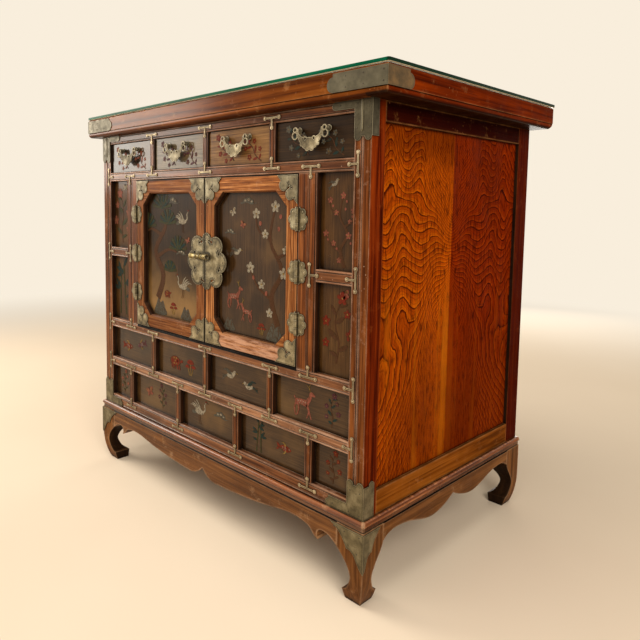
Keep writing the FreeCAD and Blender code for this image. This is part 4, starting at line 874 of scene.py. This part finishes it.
def paint(name, colour):
    """Thin old paint: brushed lighter and darker, rubbed through to the dark lacquer in places."""
    g = Graph("paint_" + name)
    place = g.place()
    brush = g.noise(place, 320, 4, 0.6)
    rubbed = g.span(g.noise(place, 170, 6, 0.7), 0.47, 0.62, 0.75)
    g.colour = srgb(*colour)
    g.lay(g.span(brush, 0.35, 0.65, 0.35), PANEL_TONES[0])
    g.lay(rubbed, PANEL_TONES[1])
    return g.finish(Roughness=g.span(brush, 0.3, 0.7, 0.55, 0.4), Specular_IOR_Level=0.05)


paint_materials = [paint(name, colour) for name, colour in PAINTS.items()]


# Motifs are drawn about their middle, in hundredths of their height
def smooth(points, closed, steps=4):
    """A Catmull-Rom line through the points."""
    count = len(points)
    line = []
    for i in range(count if closed else count - 1):
        picks = [(i + k) % count if closed else min(max(i + k, 0), count - 1) for k in (-1, 0, 1, 2)]
        a, b, c, d = [points[k] for k in picks]
        for step in range(steps):
            t = step / steps
            line.append(tuple(0.5 * (2 * q + (r - p) * t + (2 * p - 5 * q + 4 * r - s) * t ** 2
                                     + (3 * q - p - 3 * r + s) * t ** 3) for p, q, r, s in zip(a, b, c, d)))
    return line if closed else line + [points[-1]]


def blob(*points):
    return smooth(points, True)


def ribbon(start, end, *points):
    """A brush stroke through the points, from one width to another."""
    line = smooth(points, False)
    left, right = [], []
    for k, (x, z) in enumerate(line):
        before, after = line[max(k - 1, 0)], line[min(k + 1, len(line) - 1)]
        dx, dz = after[0] - before[0], after[1] - before[1]
        reach = (start + (end - start) * k / (len(line) - 1)) / 2 / hypot(dx, dz)
        left.append((x - dz * reach, z + dx * reach))
        right.append((x + dz * reach, z - dx * reach))
    return left + right[::-1]


def leaf(x, z, length, turn):
    dx, dz = length * cos(turn), length * sin(turn)
    return blob((x, z), (x + dx / 2 - dz * 0.17, z + dz / 2 + dx * 0.17), (x + dx, z + dz),
                (x + dx / 2 + dz * 0.17, z + dz / 2 - dx * 0.17))


def many(colour, form, *rows):
    """Shapes of one colour and form, one for each row of the form's own values."""
    return [(colour, form(*row)) for row in rows]


def blossoms(petals, *rows):
    """Five petals and a heart at each row's place, of its radius."""
    shapes = []
    for x, z, radius in rows:
        for k in range(5):
            turn = 2 * pi * (k + 0.25) / 5
            petal = polar(x, z, 0.58 * radius, turn)
            shapes.append((petals, oval(*petal, 0.45 * radius, 0.33 * radius, turn)))
        shapes.append(("gold", oval(x, z, 0.2 * radius, 0.2 * radius)))
    return shapes


def sprig(petals="rose", leaves="leaf"):
    return (
        many("umber", ribbon, (3.5, 1.2, (0, -50), (5, -20), (-3, 10), (8, 45)))
        + many(leaves, leaf, (3, -32, 22, 0.5), (3, -16, 24, 2.5), (-2, 8, 20, 0.6), (-1, 20, 18, 2.2),
               (4, -40, 18, 2.8), (5, 34, 16, 0.3))
        + blossoms(petals, (26, -6, 9), (-20, 10, 8), (10, 46, 10), (-20, -22, 7), (20, 24, 7)))


def plum_branch(petals="white"):
    """An old bough with twigs, small blossoms and buds."""
    buds = ((-20, -12), (20, -16), (-12, 34), (12, 40), (22, 20), (-4, -24), (10, 30))
    return (
        many("umber", ribbon, (6, 1.8, (10, -50), (2, -26), (14, -4), (0, 20), (6, 48)),
             (3, 1, (5, -30), (-14, -20), (-24, -6)), (3, 1, (8, 6), (22, 14), (24, 30)),
             (2.5, 1, (2, 20), (-14, 28), (-18, 42)))
        + blossoms(petals, (-24, -4, 5), (-10, -17, 4.2), (16, -6, 5), (24, 28, 4.8), (-17, 42, 4.6),
                   (-6, 25, 4.2), (6, 48, 5), (0, -40, 4), (18, 13, 3.6))
        + many("rose", oval, *[(x, z, 1.6, 2) for x, z in buds]))


def crane():
    feathers = [(9, 2, (10 - 9 * k, 6), (-6 - 12 * k, 34 - 4 * k), (-22 - 14 * k, 50 - 10 * k))
                for k in range(4)]
    legs = [(2.5, 1.5, (x, -6), (x - 3, -28), (x + 5, -50)) for x in (-2, 8)]
    return [
        ("slate", blob((-24, 6), (-50, -2), (-46, -15), (-20, -8))),
        ("white", blob((-30, 2), (-10, 14), (16, 12), (30, 0), (12, -10), (-14, -9))),
        ("white", ribbon(9, 3.5, (22, 3), (38, 16), (36, 36), (46, 50))),
        ("umber", ribbon(3, 0.8, (46, 50), (64, 48))),
        ("red", oval(46, 54, 5, 3)),
    ] + many("white", ribbon, *feathers) + many("umber", ribbon, *legs)


def deer():
    stances = ((-29, -8, -2), (-20, 3, -6), (18, 10, 2), (25, 6, 16))
    legs = [(8, 3, (x, -4), (x + bend, -26), (x + foot, -50)) for x, bend, foot in stances]
    spots = ((-20, 3), (-8, 4), (4, 5), (-13, -4), (0, -3), (14, 3))
    return [
        ("rose", blob((-34, 6), (-10, 11), (20, 12), (31, 2), (22, -11), (-5, -8), (-30, -12))),
        ("rose", ribbon(18, 10, (20, 3), (34, 22), (38, 36))),
        ("rose", blob((31, 36), (41, 45), (57, 35), (54, 30), (40, 31))),
        ("gold", ribbon(3, 1.2, (37, 42), (30, 57), (37, 72))),
        ("gold", ribbon(2.5, 1, (33, 53), (20, 64))),
        ("rose", leaf(-32, 6, 14, 2.2)),
    ] + many("rose", ribbon, *legs) + many("white", oval, *[(x, z, 2.5, 2) for x, z in spots])


def turtle():
    legs = [(10, 5, (x, -18), (x + 4, -32), (x + 10, -38)) for x in (-30, -12, 16, 34)]
    plates = ((0, 5), (-20, 5), (20, 5), (-10, -10), (10, -10), (-10, 18), (10, 18))
    return [
        ("umber", oval(0, 0, 46, 30)),
        ("red", oval(0, 3, 38, 24)),
        ("red", blob((40, 2), (52, 16), (66, 12), (56, 0))),
    ] + many("red", ribbon, *legs) + many("gold", oval, *[(x, z, 6, 5, 0, 6) for x, z in plates])


def fish(skin="red"):
    scales = [(2, 1, (x, 9), (x + 4, 0), (x, -8)) for x in (-14, -4, 6, 16)]
    return [
        (skin, blob((-30, 2), (-5, 16), (30, 10), (44, 0), (26, -12), (-5, -13))),
        (skin, blob((-26, 0), (-52, 20), (-46, 0), (-54, -18))),
        ("gold", ribbon(10, 2, (8, 12), (-6, 26), (-18, 24))),
        ("gold", ribbon(8, 2, (10, -10), (0, -24), (-10, -24))),
        ("white", oval(32, 3, 3, 3)),
    ] + many("white", ribbon, *scales)


def butterfly(wings="white"):
    shapes = [("umber", ribbon(6, 2, (0, 22), (0, -28)))]
    for side in (-1, 1):
        shapes += [(wings, oval(side * 26, 16, 28, 17, side * 0.6)),
                   ("gold", oval(side * 28, 18, 10, 6, side * 0.6)),
                   (wings, oval(side * 20, -16, 20, 13, -side * 0.7)),
                   ("umber", ribbon(2, 1, (0, 20), (side * 8, 36), (side * 18, 42)))]
    return shapes


def bird(back="slate"):
    shapes = [("white", blob((-22, -2), (0, 13), (22, 16), (34, 10), (22, -8), (-2, -12))),
              ("white", oval(33, 17, 10, 9)), ("gold", ribbon(5, 1, (40, 17), (54, 14)))]
    for k in range(3):
        shapes += many(back, ribbon, (8, 2, (16 - 8 * k, 6), (-4 - 10 * k, 20), (-26 - 10 * k, 28 - 5 * k)),
                       (6, 3, (-18, -2), (-34, -6 - 4 * k), (-52, -6 - 10 * k)))
    return shapes


def bamboo():
    canes = []
    joints = 5
    for x, lean, top in ((-10, 0.1, 50), (12, -0.04, 36)):
        for k in range(joints):
            low, high = [-50 + (top + 50) * step / joints for step in (k, k + 0.93)]
            canes.append((4.5, 4, (x + lean * (low + 50), low), (x + lean * (high + 50), high)))
    return many("leaf", ribbon, *canes) + many(
        "teal", leaf, (-6, 12, 26, 2.6), (-5, 14, 26, 3.3), (0, 36, 28, 0.3), (0, 36, 26, -0.4),
        (11, 2, 26, 0.1), (11, 4, 24, 0.8), (-8, -14, 22, 2.9), (10, 34, 24, 1.2), (0, 46, 24, 2.2))


def pine():
    shapes = many("umber", ribbon, (8.5, 4, (-12, -50), (-2, -25), (-16, 0), (2, 25), (-4, 40)),
                  (4.5, 1.5, (-12, -6), (8, 2), (22, 0)), (4.5, 1.5, (-4, 16), (-22, 22), (-30, 20)))
    for x, z, radius in ((24, 2, 15), (-30, 24, 15), (6, 28, 15), (-4, 44, 17), (10, -20, 11)):
        for k in range(9):
            tip = polar(x, z, radius, pi * (k + 0.5) / 9)
            shapes.append(("teal" if k % 2 else "leaf", ribbon(1.8, 3, (x, z), tip)))
    return shapes


def rock():
    return [("slate", blob((-50, -40), (-36, 0), (-16, 34), (0, 14), (20, 24), (36, -6), (50, -40))),
            ("umber", ribbon(5, 2, (-16, 28), (-10, 0), (-18, -30))),
            ("umber", ribbon(5, 2, (18, 18), (22, -8), (14, -30)))]


def cloud():
    shapes = [("slate", ribbon(10, 2, (-50, -6), (-10, 0), (20, -8), (55, -4)))]
    for x, z, radius in ((-20, 6, 13), (2, 10, 16), (22, 2, 12)):
        shapes += [("slate", oval(x, z, radius, radius * 0.8)),
                   ("white", oval(x, z, radius * 0.5, radius * 0.35))]
    return shapes


def mushroom():
    shapes = []
    for x, z, size in ((0, 20, 34), (-26, -6, 24), (28, -2, 22)):
        shoulder = z + size * 0.6
        shapes += [("gold", ribbon(5, 4, (x * 0.4, -50), (x * 0.7, -20), (x, z))),
                   ("red", blob((x - size, z), (x - size * 0.5, shoulder), (x + size * 0.5, shoulder),
                                (x + size, z), (x, z - size * 0.12)))]
    return shapes


def put(shapes, x, z, height, turn=0, flip=1):
    """A motif of that height on a panel; flip -1 makes it look the other way."""
    c, s = height / MOTIF_GRID * cos(turn), height / MOTIF_GRID * sin(turn)
    return [(colour, [(x + flip * a * c - b * s, z + flip * a * s + b * c) for a, b in outline])
            for colour, outline in shapes]


def painted(name, body, y, *motifs):
    """The paint on a body's panels; a motif is its shapes, place and height, then its turn and flip."""
    bm = bmesh.new()
    for motif in motifs:
        for k, (colour, outline) in enumerate(put(*motif)):
            proud = PAINT_PROUD + PAINT_LAYER * (k % PAINT_LAYERS)
            front = [bm.verts.new((a, y - proud, b)) for a, b in outline]
            root = [bm.verts.new((a, y + PAINT_ROOT, b)) for a, b in outline]
            made = [bm.faces.new(front), bm.faces.new(root[::-1])]
            for i in range(len(outline)):
                made.append(bm.faces.new((front[i - 1], root[i - 1], root[i], front[i])))
            for face in made:
                face.material_index = list(PAINTS).index(colour)
    bmesh.ops.recalc_face_normals(bm, faces=bm.faces)
    piece(name, bm, body, "lacquer_panel", *paint_materials)


UPPER_ROW = 0.2845
LOWER_ROW = 0.195
UPPER_BAY = 0.577
LOWER_BAY = 0.4115
BAY_X = 0.31425
DRAWER_PAINTS = (("rose", "rose"), ("plum", "plum"), ("red", "red"), ("slate", "teal"))

painted("motifs_door_left", "door_left", DOOR_PANEL_Y,
        (pine(), -0.15, 0.505, 0.2), (crane(), -0.086, 0.566, 0.042), (cloud(), -0.12, 0.606, 0.045),
        (crane(), -0.084, 0.436, 0.044, 0, -1), (rock(), -0.165, 0.39, 0.044), (rock(), -0.074, 0.386, 0.034),
        (mushroom(), -0.118, 0.39, 0.026), (cloud(), -0.09, 0.504, 0.034), (turtle(), -0.14, 0.418, 0.022),
        (butterfly("rose"), -0.068, 0.53, 0.014, 0.4))
painted("motifs_door_right", "door_right", DOOR_PANEL_Y,
        (plum_branch(), 0.166, 0.5, 0.205), (deer(), 0.072, 0.436, 0.044),
        (deer(), 0.108, 0.412, 0.034, 0, -1), (butterfly(), 0.07, 0.588, 0.017, 0.5),
        (butterfly("rose"), 0.096, 0.566, 0.015, -0.4),
        (bird(), 0.078, 0.516, 0.032), (rock(), 0.18, 0.388, 0.04), (rock(), 0.06, 0.386, 0.03),
        (mushroom(), 0.146, 0.388, 0.022), (cloud(), 0.11, 0.606, 0.04), (cloud(), 0.062, 0.552, 0.03))
painted("motifs_columns", "carcass", BAY_PANEL_Y,
        (plum_branch("rose"), BAY_X + 0.002, UPPER_BAY - 0.014, 0.11),
        (bird(), BAY_X - 0.01, UPPER_BAY + 0.056, 0.024, 0.3),
        (sprig("red", "umber"), BAY_X, LOWER_BAY + 0.002, 0.105),
        (butterfly("rose"), BAY_X + 0.016, LOWER_BAY + 0.056, 0.018, 0.4),
        (sprig("rose"), -BAY_X, UPPER_BAY - 0.006, 0.115, 0, -1),
        (butterfly(), -BAY_X + 0.012, UPPER_BAY + 0.06, 0.018),
        (bamboo(), -BAY_X, LOWER_BAY - 0.004, 0.112, 0, -1))
painted("motifs_rows", "carcass", BAY_PANEL_Y,
        (fish(), -0.296, UPPER_ROW - 0.004, 0.042),
        (fish("plum"), -0.24, UPPER_ROW + 0.008, 0.038, 0.3, -1),
        (turtle(), -0.112, UPPER_ROW - 0.004, 0.04), (mushroom(), -0.06, UPPER_ROW - 0.006, 0.034),
        (bird(), 0.062, UPPER_ROW + 0.004, 0.042),
        (bird("teal"), 0.118, UPPER_ROW - 0.006, 0.038, 0.2, -1),
        (deer(), 0.246, UPPER_ROW - 0.002, 0.048), (sprig("plum", "teal"), 0.308, UPPER_ROW, 0.052),
        (sprig("rose"), -0.313, LOWER_ROW, 0.052), (butterfly("rose"), -0.208, LOWER_ROW, 0.026, 0.4),
        (sprig("plum"), -0.158, LOWER_ROW, 0.05, 0, -1), (crane(), -0.03, LOWER_ROW, 0.046),
        (cloud(), 0.036, LOWER_ROW + 0.008, 0.04), (fish(), 0.206, LOWER_ROW - 0.002, 0.036),
        (bamboo(), 0.142, LOWER_ROW, 0.054), (sprig("red", "umber"), 0.313, LOWER_ROW, 0.052))
for i, colours in enumerate(DRAWER_PAINTS, 1):
    x = middle(f"drawer_front_{i}", 0)
    painted(f"motifs_drawer_{i}", f"drawer_{i}", DRAWER_Y,
            (sprig(*colours), x - 0.036, DRAWER_Z - 0.004, 0.064, 0.9),
            (sprig(*colours), x + 0.038, DRAWER_Z - 0.006, 0.06, 0.8, -1))

# Stage, light and camera
FLOOR_REACH = 30
FLOOR_ROUND = 48
FLOOR_FADE = (1.3, 3.2)
FLOOR_TONES = tints((230, 212, 188), (236, 219, 196))
AMBIENT = 0.32
BACKGROUND = srgb(249, 238, 220)


def seen(tree):
    """1 for rays that show the background: straight to the camera, off a gloss or through glass."""
    path = tree.nodes.new("ShaderNodeLightPath")
    level = path.outputs["Is Camera Ray"]
    for kind in ("Is Glossy Ray", "Is Transmission Ray"):
        either = tree.nodes.new("ShaderNodeMath")
        either.operation = "MAXIMUM"
        tree.links.new(level, either.inputs[0])
        tree.links.new(path.outputs[kind], either.inputs[1])
        level = either.outputs[0]
    return level


def floor_material():
    """A pale floor that keeps the shadow near the object and fades into the background further off."""
    g = Graph("pale_floor")
    place = g.place()
    away = g.add("VectorMath", {0: place}, operation="LENGTH").outputs["Value"]
    glow = g.product(g.span(away, *FLOOR_FADE), seen(g.tree))
    g.colour = g.ramp(g.noise(place, 0.9, 4), *zip((0.3, 0.7), FLOOR_TONES))
    g.lay(glow, (0, 0, 0, 1))
    return g.finish(Roughness=0.6, Specular_IOR_Level=0, Emission_Color=BACKGROUND, Emission_Strength=glow)


def stage():
    bm = bmesh.new()
    bmesh.ops.create_circle(bm, cap_ends=True, segments=FLOOR_ROUND, radius=FLOOR_REACH)
    floor = mesh_of("studio_floor", bm, floor_material())


def lamp(name, at, target, size, watts, colour):
    light = bpy.data.lights.new(name, "AREA")
    light.shape = "RECTANGLE"
    light.size, light.size_y = size
    light.energy = watts
    light.color = colour
    made = link(name, light)
    made.location = at
    made.rotation_euler = (Vector(target) - Vector(at)).to_track_quat("-Z", "Y").to_euler()


def world():
    """A pale studio: soft light on the object, and the full pale colour where it is seen or mirrored."""
    made = bpy.data.worlds.new("pale_studio")
    made.use_nodes = True
    tree = made.node_tree
    background = tree.nodes["Background"]
    background.inputs["Color"].default_value = BACKGROUND
    level = tree.nodes.new("ShaderNodeMapRange")
    tree.links.new(seen(tree), level.inputs["Value"])
    level.inputs["To Min"].default_value = AMBIENT
    tree.links.new(level.outputs[0], background.inputs["Strength"])
    bpy.context.scene.world = made


def camera():
    data = bpy.data.cameras.new("photo_camera")
    data.sensor_width = 36
    data.lens = CAMERA_LENS
    data.shift_x, data.shift_y = CAMERA_SHIFT
    made = link("photo_camera", data)
    back = CAMERA_RIGHT.cross(CAMERA_UP)
    turn = Matrix((CAMERA_RIGHT, CAMERA_UP, back)).transposed().to_4x4()
    made.matrix_world = Matrix.Translation(CAMERA_AT) @ turn
    bpy.context.scene.camera = made


stage()
world()
camera()
lamp("window_softbox", (-2.0, -1.1, 1.25), (0, -0.2, 0.45), (1.2, 1.2), 36, (1, 0.93, 0.83))
lamp("side_softbox", (2.3, -1.5, 1.7), (0.35, 0, 0.4), (1.4, 1.4), 52, (1, 0.94, 0.86))
lamp("back_softbox", (-1.0, 2.6, 0.62), (0, 0, 0.4), (1.8, 0.8), 24, (1, 0.96, 0.9))
lamp("top_softbox", (0.2, -0.8, 2.6), (0.1, -0.1, 0.3), (2.0, 1.6), 32, (1, 0.96, 0.9))
bpy.context.scene.view_settings.view_transform = "Standard"
